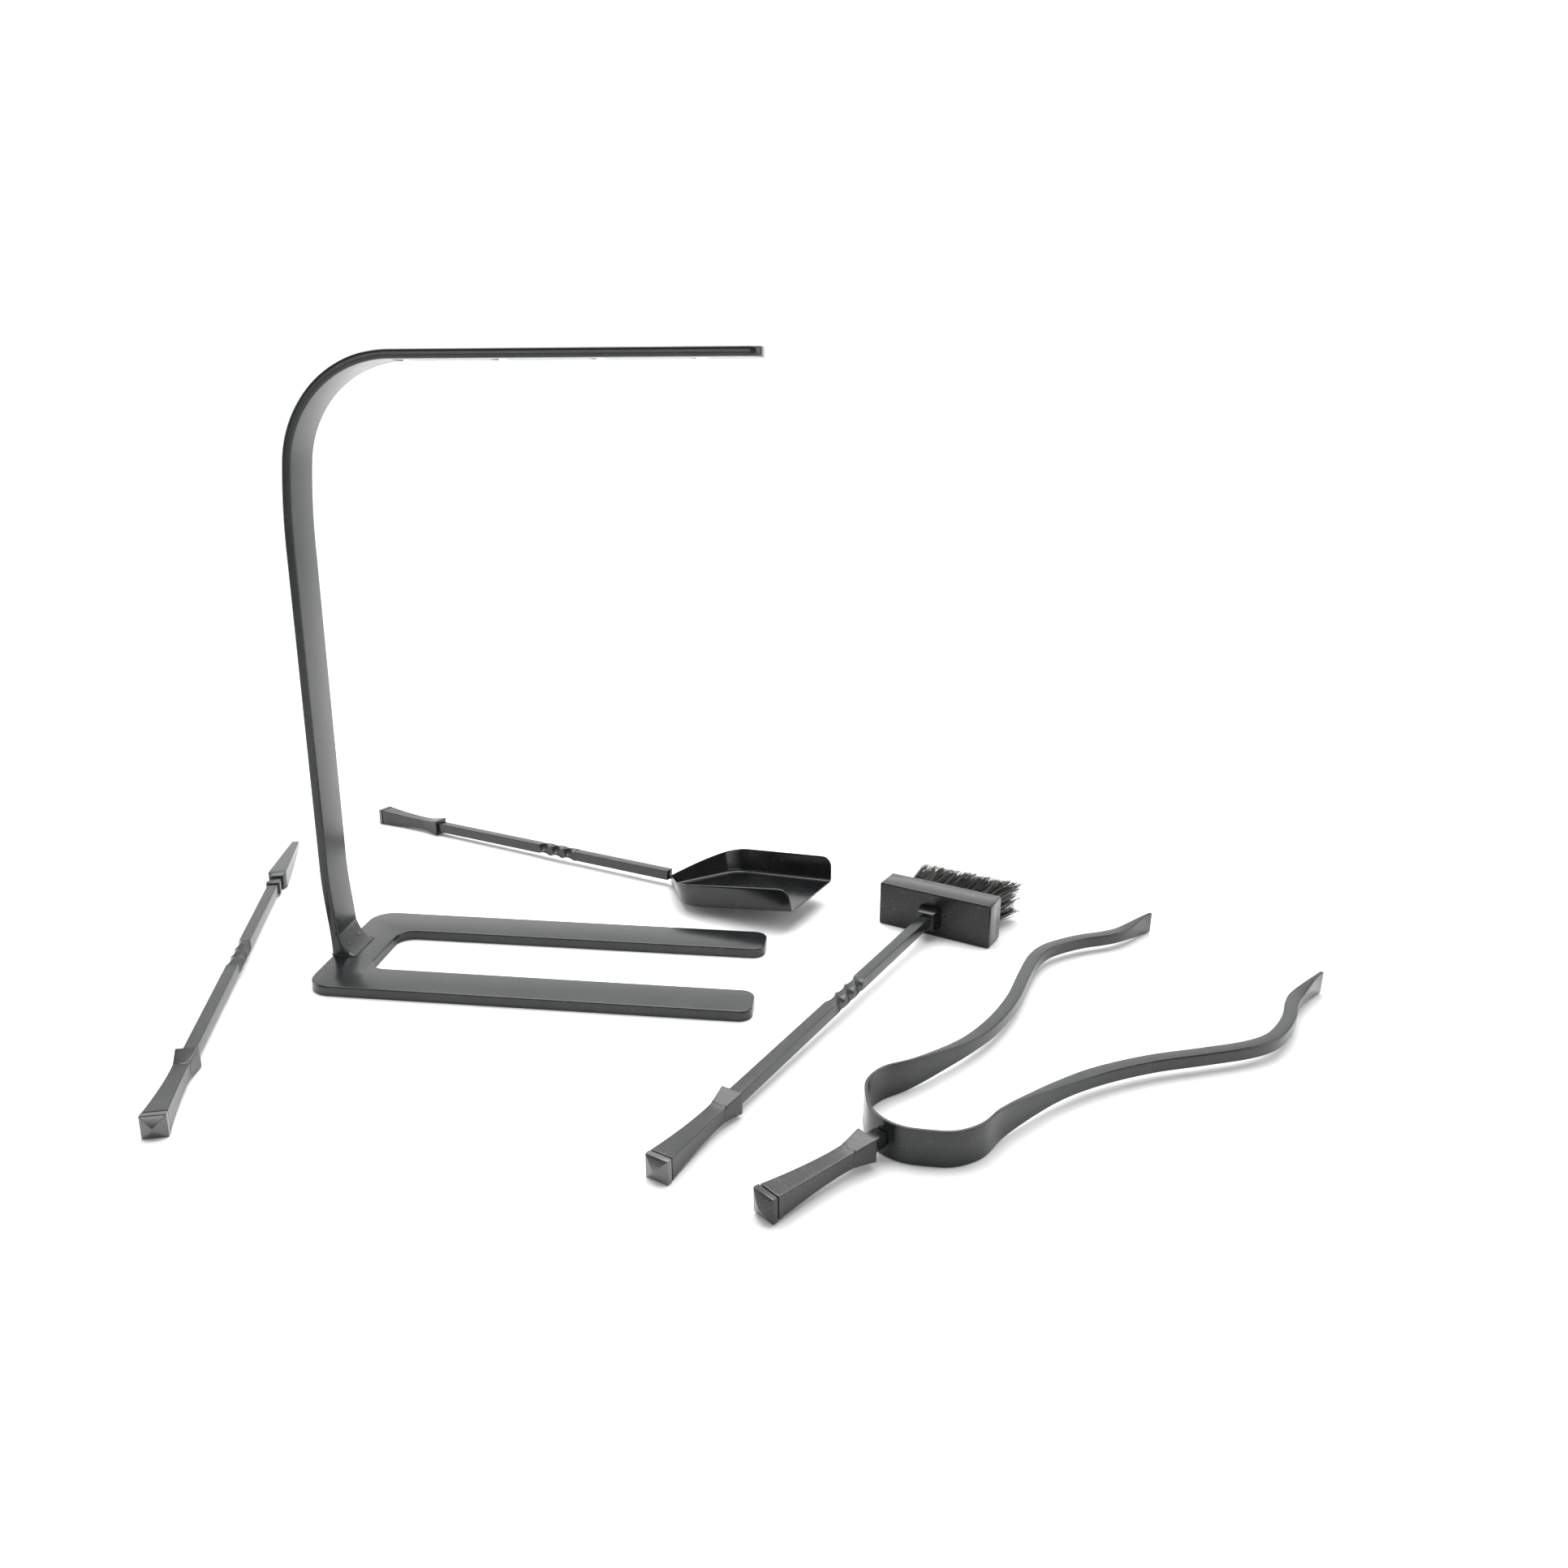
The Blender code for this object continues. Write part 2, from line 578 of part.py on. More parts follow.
def build_tongs(steel, screw_steel):
    """The tongs: handle, neck, rivet, the spring bow and the two arms that hinge where the bow bends."""
    place = tool_empty("tongs", TONGS_PLACE, TONGS_HEADING, TONGS_RISE)
    neck_end = GRIP_END + NECK_LENGTH
    droop = radians(HANDLE_DROOP)
    lowered = (neck_end * (1 - cos(droop)), 0.0, -neck_end * sin(droop))
    handle = add_empty("tongs_handle_place", lowered, (0.0, -droop, 0.0))
    handle.parent = place
    build_handle("tongs", handle, steel, screw_steel, BAR / 2)
    neck = loft(
        "tongs_neck",
        [square(GRIP_END - SOCKET_DEPTH + GAP, BAR / 2), square(neck_end, BAR / 2)],
        steel,
        handle,
    )
    steps = 6
    line = smooth_line(ARM_LINE, steps)
    split = HINGE_POINT * steps
    hinge, hinge_slope = line[split]
    back_off = hinge_slope * (HINGE_GAP / 2)
    half = line[:split] + [(hinge - back_off, hinge_slope)]
    sections = [arm_section(spot, slope, -1) for spot, slope in reversed(half[1:])]
    sections += [arm_section(spot, slope, 1) for spot, slope in half]
    bow = loft("tongs_bow", sections, steel, place)
    rivet_radius, rivet_head = 0.0028, 0.0052
    rivet_start, rivet_end = neck_end - 0.009, BOW_AT + STRAP_THICKNESS / 2 + 0.0022
    length = rivet_end - rivet_start
    shoulder = (BOW_AT + STRAP_THICKNESS / 2 + 2 * GAP - rivet_start) / length
    profile = [(0.0, rivet_radius), (shoulder, rivet_radius), (shoulder + 0.0001, rivet_head),
               (0.5 * (1 + shoulder), rivet_head * 0.85), (1.0, rivet_head * 0.4)]
    rod("tongs_rivet", (rivet_start, 0, 0), (rivet_end, 0, 0), profile, steel, handle)
    for target in (neck, bow):
        hole = rod(target.name + "_rivet_hole", (rivet_start - GAP, 0, 0), (rivet_end + 0.01, 0, 0),
                   rivet_radius + GAP, steel, handle)
        cut(target, hole)
    for side, name in ((1, "tongs_arm_left"), (-1, "tongs_arm_right")):
        pivot = add_empty(name + "_hinge", (hinge.x, side * hinge.y, 0.0), (0.0, 0.0, 0.0))
        pivot.parent = place
        arm_line = [(hinge + back_off, hinge_slope)] + line[split + 1 :]
        arm_sections = []
        for spot, slope in arm_line:
            corners = arm_section(spot, slope, side)
            arm_sections.append([(x - hinge.x, y - side * hinge.y, z) for x, y, z in corners])
        loft(name, arm_sections, steel, pivot)


def build():
    """Build every piece of the set."""
    clear_scene()
    steel = material("black_powder_coat", (0.035, 0.037, 0.036), 0.42, 0.35)
    screw_steel = material("dark_zinc", (0.30, 0.30, 0.31), 0.35, 1.0)
    wood = material("brush_block_wood", (0.30, 0.20, 0.12), 0.70, 0.0)
    bristle = material("dark_bristle", (0.030, 0.028, 0.025), 0.80, 0.0)
    build_stand(steel, screw_steel)
    build_poker(steel, screw_steel)
    build_shovel(steel, screw_steel)
    build_brush(steel, screw_steel, wood, bristle)
    build_tongs(steel, screw_steel)


build()
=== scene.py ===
# %% [markdown]
# # A hearth set: stand, poker, shovel, brush and tongs
# The set is black powder-coated steel. A flat bar is bent into a C and stands on a forked plate, and four
# tools lie round it on the floor. Nearly every piece is a bar whose cross-section changes along its length,
# so one idea builds most of this lesson: a ring of points is worked out as a formula, and rings are stacked.

# %% Load the frame
import json

import bmesh
import bpy
import numpy as np
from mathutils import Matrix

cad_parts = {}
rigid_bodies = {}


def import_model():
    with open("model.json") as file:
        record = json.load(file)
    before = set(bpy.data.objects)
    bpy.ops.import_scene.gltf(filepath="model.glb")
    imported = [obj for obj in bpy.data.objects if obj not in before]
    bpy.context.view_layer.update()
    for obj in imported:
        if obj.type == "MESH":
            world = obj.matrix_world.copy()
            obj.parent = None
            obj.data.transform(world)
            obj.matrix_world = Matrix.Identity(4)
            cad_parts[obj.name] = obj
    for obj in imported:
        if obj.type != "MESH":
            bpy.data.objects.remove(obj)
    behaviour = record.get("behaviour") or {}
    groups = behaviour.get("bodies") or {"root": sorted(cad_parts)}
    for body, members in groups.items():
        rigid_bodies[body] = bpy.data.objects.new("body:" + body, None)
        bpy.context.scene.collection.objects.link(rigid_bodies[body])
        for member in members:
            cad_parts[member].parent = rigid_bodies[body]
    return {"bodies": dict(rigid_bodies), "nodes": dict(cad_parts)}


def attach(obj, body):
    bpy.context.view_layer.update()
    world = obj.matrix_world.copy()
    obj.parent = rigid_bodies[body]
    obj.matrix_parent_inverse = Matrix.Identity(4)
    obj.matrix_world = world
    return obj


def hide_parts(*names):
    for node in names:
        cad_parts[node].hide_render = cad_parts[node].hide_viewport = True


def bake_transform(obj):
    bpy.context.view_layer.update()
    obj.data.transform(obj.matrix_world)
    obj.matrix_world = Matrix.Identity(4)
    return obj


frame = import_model()
bodies, nodes = frame["bodies"], frame["nodes"]
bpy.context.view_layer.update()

# %% [markdown]
# ## A surface from numpy
# Blender takes a mesh as two lists: points, and faces that name their points by number. A grid of points is
# easy to number, because the neighbour of point (i, j) is always (i, j + 1) or (i + 1, j). The signed volume
# of the closed result tells whether the faces look outwards, and one slice turns them round if they don't.


# %% Grids, rings and meshes
def grid_faces(rows, columns, close=True):
    """Quads of a rows x columns grid, numbered row by row. With close, the last column joins the first."""
    across = columns if close else columns - 1
    i, j = np.meshgrid(np.arange(rows - 1), np.arange(across), indexing="ij")
    right = (j + 1) % columns
    low, high = i * columns, (i + 1) * columns
    return np.stack([low + j, low + right, high + right, high + j], -1).reshape(-1, 4)


def face_volume(points, quads):
    """The sum over the faces of one sixth of the box product of three corners, for a face's two triangles."""
    a, b, c, d = (points[quads[:, k]] for k in range(4))
    return (np.cross(a, b) * c).sum() / 6 + (np.cross(a, c) * d).sum() / 6


def add_mesh(name, points, faces, smooth_angle=35.0):
    """Make an object from an (n, 3) array and a list of faces, smooth except over edges past smooth_angle."""
    mesh = bpy.data.meshes.new(name)
    mesh.from_pydata(points.tolist(), [], faces)
    mesh.shade_smooth()
    mesh.set_sharp_from_angle(angle=np.radians(smooth_angle))
    obj = bpy.data.objects.new(name, mesh)
    bpy.context.scene.collection.objects.link(obj)
    return obj


def stack_rings(name, rings, smooth_angle=35.0):
    """Join rings of shape (rings, points, 3) into a closed solid, with a flat face over each end."""
    count, size = rings.shape[:2]
    points = rings.reshape(-1, 3)
    centred = points - points.mean(0)
    quads = grid_faces(count, size)
    ends = [np.arange(size)[::-1], np.arange(size) + (count - 1) * size]
    if face_volume(centred, quads) < 0:
        quads, ends = quads[:, ::-1], [end[::-1] for end in ends]
    return add_mesh(name, points, quads.tolist() + [end.tolist() for end in ends], smooth_angle)


# %% [markdown]
# ## The cross-section
# Forged and rolled bar never has a perfectly sharp corner, and it is the small round corner that catches the
# light as a thin line. So the cross-section is a rectangle with round corners. A quarter circle sits at each
# corner, and a few points run along each side so that a face can be bent later.


# %% Rounded rectangles, many at once
def rounded_rings(half_wide, half_tall, radius, turn=0.0, corner=4, side=0):
    """Rings (n, m, 2) of round-cornered rectangles.

    Each corner is centre + radius * (cos t, sin t) over a quarter turn, and the centre lies radius inside
    both sides. Side points divide the straight parts evenly. The whole ring is then turned by turn.
    """
    wide, tall, round_, angle = np.broadcast_arrays(
        *(np.atleast_1d(np.asarray(v, float)) for v in (half_wide, half_tall, radius, turn))
    )
    round_ = np.minimum(round_, np.minimum(wide, tall) * 0.98)
    signs = np.array([(1, 1), (-1, 1), (-1, -1), (1, -1)], float)
    t = np.radians(90.0 * np.arange(4)[:, None] + np.linspace(0, 90, corner + 1)[None])
    u = signs[:, 0, None] * (wide - round_)[:, None, None] + round_[:, None, None] * np.cos(t)
    v = signs[:, 1, None] * (tall - round_)[:, None, None] + round_[:, None, None] * np.sin(t)
    arcs = np.stack([u, v], -1)
    if side:
        part = (np.arange(side) + 1.0)[:, None] / (side + 1)
        last, following = arcs[:, :, -1:], np.roll(arcs, -1, axis=1)[:, :, :1]
        arcs = np.concatenate([arcs, last + (following - last) * part], axis=2)
    flat = arcs.reshape(len(wide), -1, 2)
    c, s = np.cos(angle)[:, None], np.sin(angle)[:, None]
    return np.stack([flat[..., 0] * c - flat[..., 1] * s, flat[..., 0] * s + flat[..., 1] * c], -1)


def with_round_ends(x, end, *profiles, steps=3):
    """Add stations at both ends of x, so that a quarter circle of radius end rounds the bar's ends.

    At angle q the station lies end * (1 - sin q) inside the end and the section shrinks by end * (1 - cos q).
    Returns the stations, how much each shrinks, and each profile sampled at them.
    """
    q = np.linspace(np.pi / 2, 0, steps + 1)
    inner = x[(x > x[0] + end * 1.01) & (x < x[-1] - end * 1.01)]
    first, last = x[0] + end * (1 - np.sin(q)), x[-1] - end * (1 - np.sin(q[::-1]))
    stations = np.concatenate([first, inner, last])
    shrink = np.concatenate([end * (1 - np.cos(q)), np.zeros(len(inner)), end * (1 - np.cos(q[::-1]))])
    return (stations, shrink, *(np.interp(stations, x, np.broadcast_to(p, x.shape)) for p in profiles))


print("one ring has", rounded_rings(1, 1, 0.1).shape[1], "points")

# %% [markdown]
# ## Where each tool lies
# A tool is built along its own X axis, from the back edge of its cap, and then placed. The place is a point,
# a heading on the floor and a small rise, so three unit vectors turn tool coordinates into room coordinates.


# %% Placing a tool
def placed(points, at, heading, rise):
    """Turn tool coordinates (x along, y left, z up) into room coordinates; heading and rise in degrees."""
    h, r = np.radians(heading), np.radians(rise)
    along = np.array([np.cos(r) * np.cos(h), np.cos(r) * np.sin(h), np.sin(r)])
    left = np.array([-np.sin(h), np.cos(h), 0.0])
    up = np.cross(along, left)
    return np.asarray(at) + points[..., :1] * along + points[..., 1:2] * left + points[..., 2:] * up


CAP_HALF = 0.0110
POKER = dict(at=(-0.0291, -0.3559, CAP_HALF), heading=107.13, rise=0.0)
SHOVEL = dict(at=(-0.1606, 0.4444, CAP_HALF), heading=-22.5, rise=0.45)
BRUSH = dict(at=(0.3989, -0.3602, CAP_HALF), heading=64.57, rise=1.424)
TONGS = dict(at=(0.4862, -0.3960, 0.0179), heading=46.64, rise=-0.40)

# The tongs' handle hangs down a little from the strap, about the neck's end, until its cap is near the floor.
NECK_END, DROOP = 0.1292, 2.3
turned_back = NECK_END * np.array([1 - np.cos(np.radians(DROOP)), 0.0, -np.sin(np.radians(DROOP))])
TONGS_HANDLE = dict(at=placed(turned_back, **TONGS), heading=TONGS["heading"], rise=TONGS["rise"] + DROOP)
TOOLS = {"poker": POKER, "shovel": SHOVEL, "brush": BRUSH, "tongs": TONGS_HANDLE}


LEAST_HALF, LEAST_RADIUS = 0.0002, 0.0001


def straight_bar(name, tool, x, wide, tall, radius, end=0.0006, turn=0.0, side=0, bow=None, angle=35.0):
    """A bar along a tool's X axis through stations x, with half sizes wide and tall and round corners.

    bow is an optional function of (x, y / wide, z / tall) that moves points along X, to curve a crease.
    """
    x, shrink, wide, tall, radius, turn = with_round_ends(x, end, wide, tall, radius, turn)
    wide, tall = np.maximum(wide - shrink, LEAST_HALF), np.maximum(tall - shrink, LEAST_HALF)
    yz = rounded_rings(wide, tall, np.maximum(radius - 0.5 * shrink, LEAST_RADIUS), turn, side=side)
    along = np.broadcast_to(x[:, None, None], yz.shape[:2] + (1,)).copy()
    if bow is not None:
        along[..., 0] += bow(x[:, None], yz[..., 0] / wide[:, None], yz[..., 1] / tall[:, None])
    return stack_rings(name, placed(np.concatenate([along, yz], -1), **TOOLS[tool]), angle)


print("tools:", {name: place["heading"] for name, place in TOOLS.items()})

# %% [markdown]
# ## Shader maths
# A pattern is arithmetic on the surface's coordinates. Written as nodes it is long, so one small class holds a
# socket and gives it the usual operators: `mask * 0.4` then adds a Math node that does just that. Every other
# node comes from one method, which sets the node's own settings first and then its sockets.


# %% A socket that can be added, scaled and compared
class Socket:
    """A node output whose operators add Math nodes to the same tree."""

    def __init__(self, tree, link):
        self.tree, self.link = tree, link

    def node(self, kind, settings=None, out=0, **values):
        """Add a node, set its settings, then fill or link its sockets by name; returns one of its outputs."""
        node = self.tree.nodes.new(kind)
        for name, value in (settings or {}).items():
            setattr(node, name, value)
        for name, value in values.items():
            plug = node.inputs[int(name[1:])] if name[1:].isdigit() else node.inputs[name.replace("_", " ")]
            if isinstance(value, Socket):
                self.tree.links.new(value.link, plug)
            else:
                plug.default_value = value
        return Socket(self.tree, node.outputs[out])

    def math(self, operation, *others):
        """One Math node with this socket first."""
        values = {"i%d" % i: value for i, value in enumerate((self, *others))}
        return self.node("ShaderNodeMath", {"operation": operation}, **values)

    def __add__(self, other):
        return self.math("ADD", other)

    def __mul__(self, other):
        return self.math("MULTIPLY", other)

    def __sub__(self, other):
        return self.math("SUBTRACT", other)

    __radd__ = __add__

    def step(self, low, high):
        """0 below low, 1 above high, and a smooth ramp between."""
        settings = {"interpolation_type": "SMOOTHSTEP"}
        return self.node("ShaderNodeMapRange", settings, Value=self, From_Min=low, From_Max=high)

    def noise(self, scale, detail=2.0, roughness=0.5):
        """Noise from 0 to 1 at this vector, with scale in cells per metre."""
        values = dict(Vector=self, Scale=scale, Detail=detail, Roughness=roughness)
        return self.node("ShaderNodeTexNoise", **values)

    def stretch(self, x, y, z):
        """This vector with each axis scaled, so that a pattern on it is squeezed along the larger ones."""
        return self.node("ShaderNodeVectorMath", {"operation": "MULTIPLY"}, i0=self, i1=(x, y, z))

    def mix(self, low, high):
        """A colour between low and high, chosen by this value."""
        settings = {"data_type": "RGBA"}
        low, high = (c if isinstance(c, Socket) else (*c, 1.0) for c in (low, high))
        return self.node("ShaderNodeMix", settings, 2, Factor=self, i6=low, i7=high)


def new_material(name, slot, **fixed):
    """A Principled material, with its fixed sockets set, and the Object coordinates to paint with."""
    mat = bpy.data.materials.new(name)
    mat.use_nodes = True
    tree = mat.node_tree
    shader = tree.nodes["Principled BSDF"]
    for socket, value in fixed.items():
        shader.inputs[socket.replace("_", " ")].default_value = value
    mat["record_slot"] = slot
    coordinates = tree.nodes.new("ShaderNodeTexCoord")
    return mat, shader, Socket(tree, coordinates.outputs["Object"])


def connect(shader, colour=None, roughness=None, bump=None, strength=0.3, distance=0.0001):
    """Link a colour, a roughness and a height to the shader; the height goes through a Bump node."""
    tree = shader.id_data
    if colour is not None:
        tree.links.new(colour.link, shader.inputs["Base Color"])
    if roughness is not None:
        tree.links.new(roughness.link, shader.inputs["Roughness"])
    if bump is not None:
        normal = bump.node("ShaderNodeBump", None, 0, Strength=strength, Distance=distance, Height=bump)
        tree.links.new(normal.link, shader.inputs["Normal"])


# %% [markdown]
# ## Powder coat
# Powder coat is plastic baked on to steel. It is black with a satin gloss, and close up it has two textures:
# a very fine grit, and a soft waviness a few millimetres across where the powder flowed as it melted. Handling
# leaves faint paler rubs, and dust settles as pale specks, so gloss and colour both vary a little. The caps
# get a paler copy of the coat, which is painted sheen, with a higher IOR so that they reflect more. The brush's
# head gets a darker copy with a lower IOR, which is painted shade.


# %% The black coats
DUST_COLOUR, RUBBED_PALER = (0.34, 0.34, 0.33), 2.2


def powder_coat(name, dark, pale, gloss, grit, dust, ior=1.5):
    """Black powder coat: colour from slow noise, roughness from middle noise, bump from grit and flow."""
    mat, shader, place = new_material(name + "_coat", "black_powder_coat", Metallic=0.0, IOR=ior)
    cloudy = place.noise(9.0, 2.0)
    rubs = place.noise(60.0, 4.0, 0.65)
    fine = place.noise(2600.0, 2.0, 0.6)
    flow = place.noise(420.0, 1.0)
    specks = place.noise(1500.0, 0.0).step(0.735, 0.80) * place.noise(45.0, 1.0).step(0.42, 0.62) * dust
    coat = (cloudy * 0.6 + rubs * 0.4).step(0.35, 0.68).mix(dark, pale)
    coat = (fine.step(0.55, 0.8) * 0.35).mix(coat, tuple(RUBBED_PALER * c for c in pale))
    colour = specks.mix(coat, DUST_COLOUR)
    rough = gloss + (rubs - 0.5) * 0.10 + (fine - 0.5) * 0.08 + specks * 0.3
    connect(shader, colour, rough, fine * 0.7 + flow * 0.3, strength=grit, distance=0.00010)
    return mat


satin_black = powder_coat("satin_black", (0.0072, 0.0086, 0.0090), (0.0100, 0.0116, 0.0120), 0.22, 0.08, 0.4)
handle_black = powder_coat("handle_black", (0.0056, 0.0064, 0.0066), (0.0095, 0.0106, 0.0108), 0.22, 0.22, 0.8)
# The caps' paler colour is painted sheen; the higher IOR makes them reflect more.
cap_black = powder_coat("cap_black", (0.011, 0.0124, 0.0127), (0.018, 0.020, 0.0204), 0.20, 0.18, 0.8, 1.95)
pan_black = powder_coat("pan_black", (0.0030, 0.0037, 0.0039), (0.0050, 0.0059, 0.0061), 0.17, 0.05, 0.3)
# The brush head's darker colour and lower IOR are painted shade.
head_black = powder_coat("head_black", (0.0032, 0.0038, 0.004), (0.0056, 0.0065, 0.0067), 0.22, 0.12, 0.6, 1.42)
print("coats:", [m.name for m in (satin_black, handle_black, cap_black, pan_black, head_black)])

# %% [markdown]
# ## Screw steel, beech and bristle
# The studs and the foot screws are zinc-plated steel, with fine turned marks. The block inside the brush is
# bare beech with short dark flecks. Bristles are matt fibres that differ in shade, so a number is kept with
# each fibre and the material reads it.


# %% The other finishes
def dark_screw_steel():
    """Dark zinc plate: fine streaks from noise squeezed along one axis."""
    mat, shader, place = new_material("dark_screw_steel", "dark_screw_steel", Metallic=1.0)
    streak = place.stretch(1.0, 1.0, 9.0).noise(900.0, 3.0, 0.7)
    spots = place.noise(300.0, 2.0)
    connect(shader, streak.mix((0.14, 0.14, 0.15), (0.30, 0.30, 0.31)), 0.26 + spots * 0.22, streak, 0.2)
    return mat


def beech():
    """Beech: bands of noise squeezed along one axis, with short dark flecks."""
    mat, shader, place = new_material("brush_beech", "brush_block_wood", Metallic=0.0)
    grain = place.stretch(0.6, 5.0, 1.0)
    bands = grain.noise(45.0, 4.0, 0.6)
    flecks = grain.noise(700.0, 1.0).step(0.62, 0.72) * 0.5
    wood = bands.mix((0.36, 0.21, 0.11), (0.55, 0.36, 0.21))
    connect(shader, flecks.mix(wood, (0.17, 0.09, 0.05)), 0.55 + bands * 0.2, bands, 0.3)
    return mat


def black_fibre():
    """Matt black fibre: a number stored for each fibre gives its shade, and the tips are a little paler."""
    mat, shader, place = new_material("black_fibre", "black_bristle", Metallic=0.0)
    shade = place.node("ShaderNodeAttribute", {"attribute_name": "fibre_shade"}, 2)
    height = place.node("ShaderNodeAttribute", {"attribute_name": "fibre_height"}, 2)
    colour = (shade * 0.9 + height * 0.1).mix((0.0015, 0.0015, 0.0015), (0.150, 0.147, 0.130))
    connect(shader, colour, 0.38 + shade * 0.2)
    return mat


screw_steel, beech_wood, fibre = dark_screw_steel(), beech(), black_fibre()


def finish(obj, body, material, *replaced):
    """Give a piece its finish, let it ride on its body, and hide the frame nodes it stands for."""
    obj.data.materials.append(material)
    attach(obj, body)
    if replaced:
        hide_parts(*replaced)
    return obj


# %% [markdown]
# ## The stand's bar
# On the real stand this is one flat bar, bent hot: up from the foot, round a wide bend and out level. Its side
# view is two circular arcs and two straight lines, and the foot swells forward in a smooth fillet where it is
# welded. The bar is a section carried along that line. Its own length coordinate decides which formula holds.

# %% Measurements of the bar
BAR_HALF_WIDTH, BAR_THICK = 0.0255, 0.0095
TOP, PLATE_TOP, ARM_END, PLATE_FRONT = 0.644, 0.0114, 0.445, 0.448
UPRIGHT_BACK, LEAN, LEAN_RADIUS, BEND_RADIUS = -0.031, np.radians(6.9), 0.700, 0.118
FOOT_LENGTH, FOOT_RISE, FOOT_TUCK, FOOT_TUCK_RISE = 0.0325, 0.060, 0.0055, 0.100
BAR_EDGE, ARM_CORNER, FOOT_GAP = 0.0032, 0.014, 0.0003


def bar_side_view():
    """Outer points and inner points of the bar's side view, from the foot to the arm's end.

    Foot: the outer line tucks in by half a cosine wave; the inner line flares by a quarter of an ellipse.
    Then an arc of LEAN_RADIUS through LEAN, an arc of BEND_RADIUS to level, and the straight arm.
    """
    up = np.concatenate([np.linspace(0, 0.6, 40), np.linspace(0.62, 1, 12)])
    z = PLATE_TOP + FOOT_GAP + FOOT_TUCK_RISE * up
    tuck = FOOT_TUCK * 0.5 * (1 + np.cos(np.pi * up))
    above = np.minimum(1.0, FOOT_TUCK_RISE * up / FOOT_RISE)
    flare = (FOOT_LENGTH - BAR_THICK) * (1 - np.sqrt(1 - (1 - above) ** 2))
    foot_out = np.stack([UPRIGHT_BACK + tuck, z], 1)
    foot_in = np.stack([np.maximum(foot_out[:, 0], UPRIGHT_BACK + flare) + BAR_THICK, z], 1)
    bend_x = UPRIGHT_BACK + LEAN_RADIUS * (1 - np.cos(LEAN)) + BEND_RADIUS * np.cos(LEAN)
    bend_z = TOP - BEND_RADIUS
    lean_z = bend_z + BEND_RADIUS * np.sin(LEAN) - LEAN_RADIUS * np.sin(LEAN)
    straight = np.linspace(z[-1], lean_z, 12)[1:-1]
    a = np.linspace(0, LEAN, 14)
    b = np.linspace(LEAN, np.pi / 2, 70)[1:]
    arm = np.linspace(bend_x, ARM_END, 60)[1:]
    angle = np.concatenate([0 * straight, a, b, 0 * arm + np.pi / 2])
    out_x = np.concatenate([0 * straight + UPRIGHT_BACK, UPRIGHT_BACK + LEAN_RADIUS * (1 - np.cos(a)),
                            bend_x - BEND_RADIUS * np.cos(b), arm])
    out_z = np.concatenate([straight, lean_z + LEAN_RADIUS * np.sin(a), bend_z + BEND_RADIUS * np.sin(b),
                            0 * arm + TOP])
    out = np.stack([out_x, out_z], 1)
    inner = out + BAR_THICK * np.stack([np.cos(angle), -np.sin(angle)], 1)
    return np.concatenate([foot_out, out]), np.concatenate([foot_in, inner])


outer_line, inner_line = bar_side_view()
print("bar stations:", len(outer_line), "height:", round(float(outer_line[:, 1].max()), 4))

# %% Build the bar and cut its slots
SLOT_FIRST, SLOT_PITCH, SLOT_WIDTH, SLOT_DEPTH = 0.094, 0.097, 0.014, 0.033
CUT_PAST = 0.03


def stand_bar():
    """Rings across the bar: half the width in Y, half the thickness towards the inner line.

    Over the last ARM_CORNER of the arm the half width falls along a quarter circle, which rounds the corners.
    """
    middle, across = (outer_line + inner_line) / 2, (inner_line - outer_line) / 2
    half_thick = np.hypot(*across.T)
    direction = across / half_thick[:, None]
    q = np.linspace(0, np.pi / 2, 9)[1:]
    end_x = ARM_END - ARM_CORNER * (1 - np.sin(q))
    keep = middle[:, 0] < ARM_END - ARM_CORNER
    keep |= middle[:, 1] < TOP / 2
    arm = np.stack([end_x, 0 * end_x + TOP - BAR_THICK / 2], 1)
    middle = np.concatenate([middle[keep], arm])
    half_thick = np.concatenate([half_thick[keep], 0 * end_x + BAR_THICK / 2])
    direction = np.concatenate([direction[keep], np.repeat([[0.0, -1.0]], len(q), 0)])
    narrowing = BAR_HALF_WIDTH - ARM_CORNER * (1 - np.cos(q))
    width = np.concatenate([np.full(keep.sum(), BAR_HALF_WIDTH), narrowing])
    uv = rounded_rings(width, half_thick, BAR_EDGE, corner=5)
    points = np.empty(uv.shape[:2] + (3,))
    points[..., 0] = middle[:, 0, None] + uv[..., 1] * direction[:, 0, None]
    points[..., 1] = uv[..., 0]
    points[..., 2] = middle[:, 1, None] + uv[..., 1] * direction[:, 1, None]
    return stack_rings("stand_bar_bent", points, 38.0)


def block(name, low, high):
    """A plain box between two corners, used only as a cutter."""
    low, high = np.array(low), np.array(high)
    square = np.array([(0, 0), (1, 0), (1, 1), (0, 1)], float)
    rings = np.concatenate([np.zeros((2, 4, 1)), np.repeat(square[None], 2, 0)], -1)
    rings[1, :, 0] = 1.0
    return stack_rings(name, low + rings * (high - low))


def cut_away(obj, *cutters):
    """Subtract the cutters from obj, keep the result in its mesh, and throw the cutters away."""
    for cutter in cutters:
        modifier = obj.modifiers.new("cut", "BOOLEAN")
        modifier.operation, modifier.solver, modifier.object = "DIFFERENCE", "EXACT", cutter
    bpy.context.view_layer.update()
    cut = bpy.data.meshes.new_from_object(obj.evaluated_get(bpy.context.evaluated_depsgraph_get()))
    obj.modifiers.clear()
    obj.data = cut
    for cutter in cutters:
        bpy.data.objects.remove(cutter)
    cut.set_sharp_from_angle(angle=np.radians(38.0))
    return obj


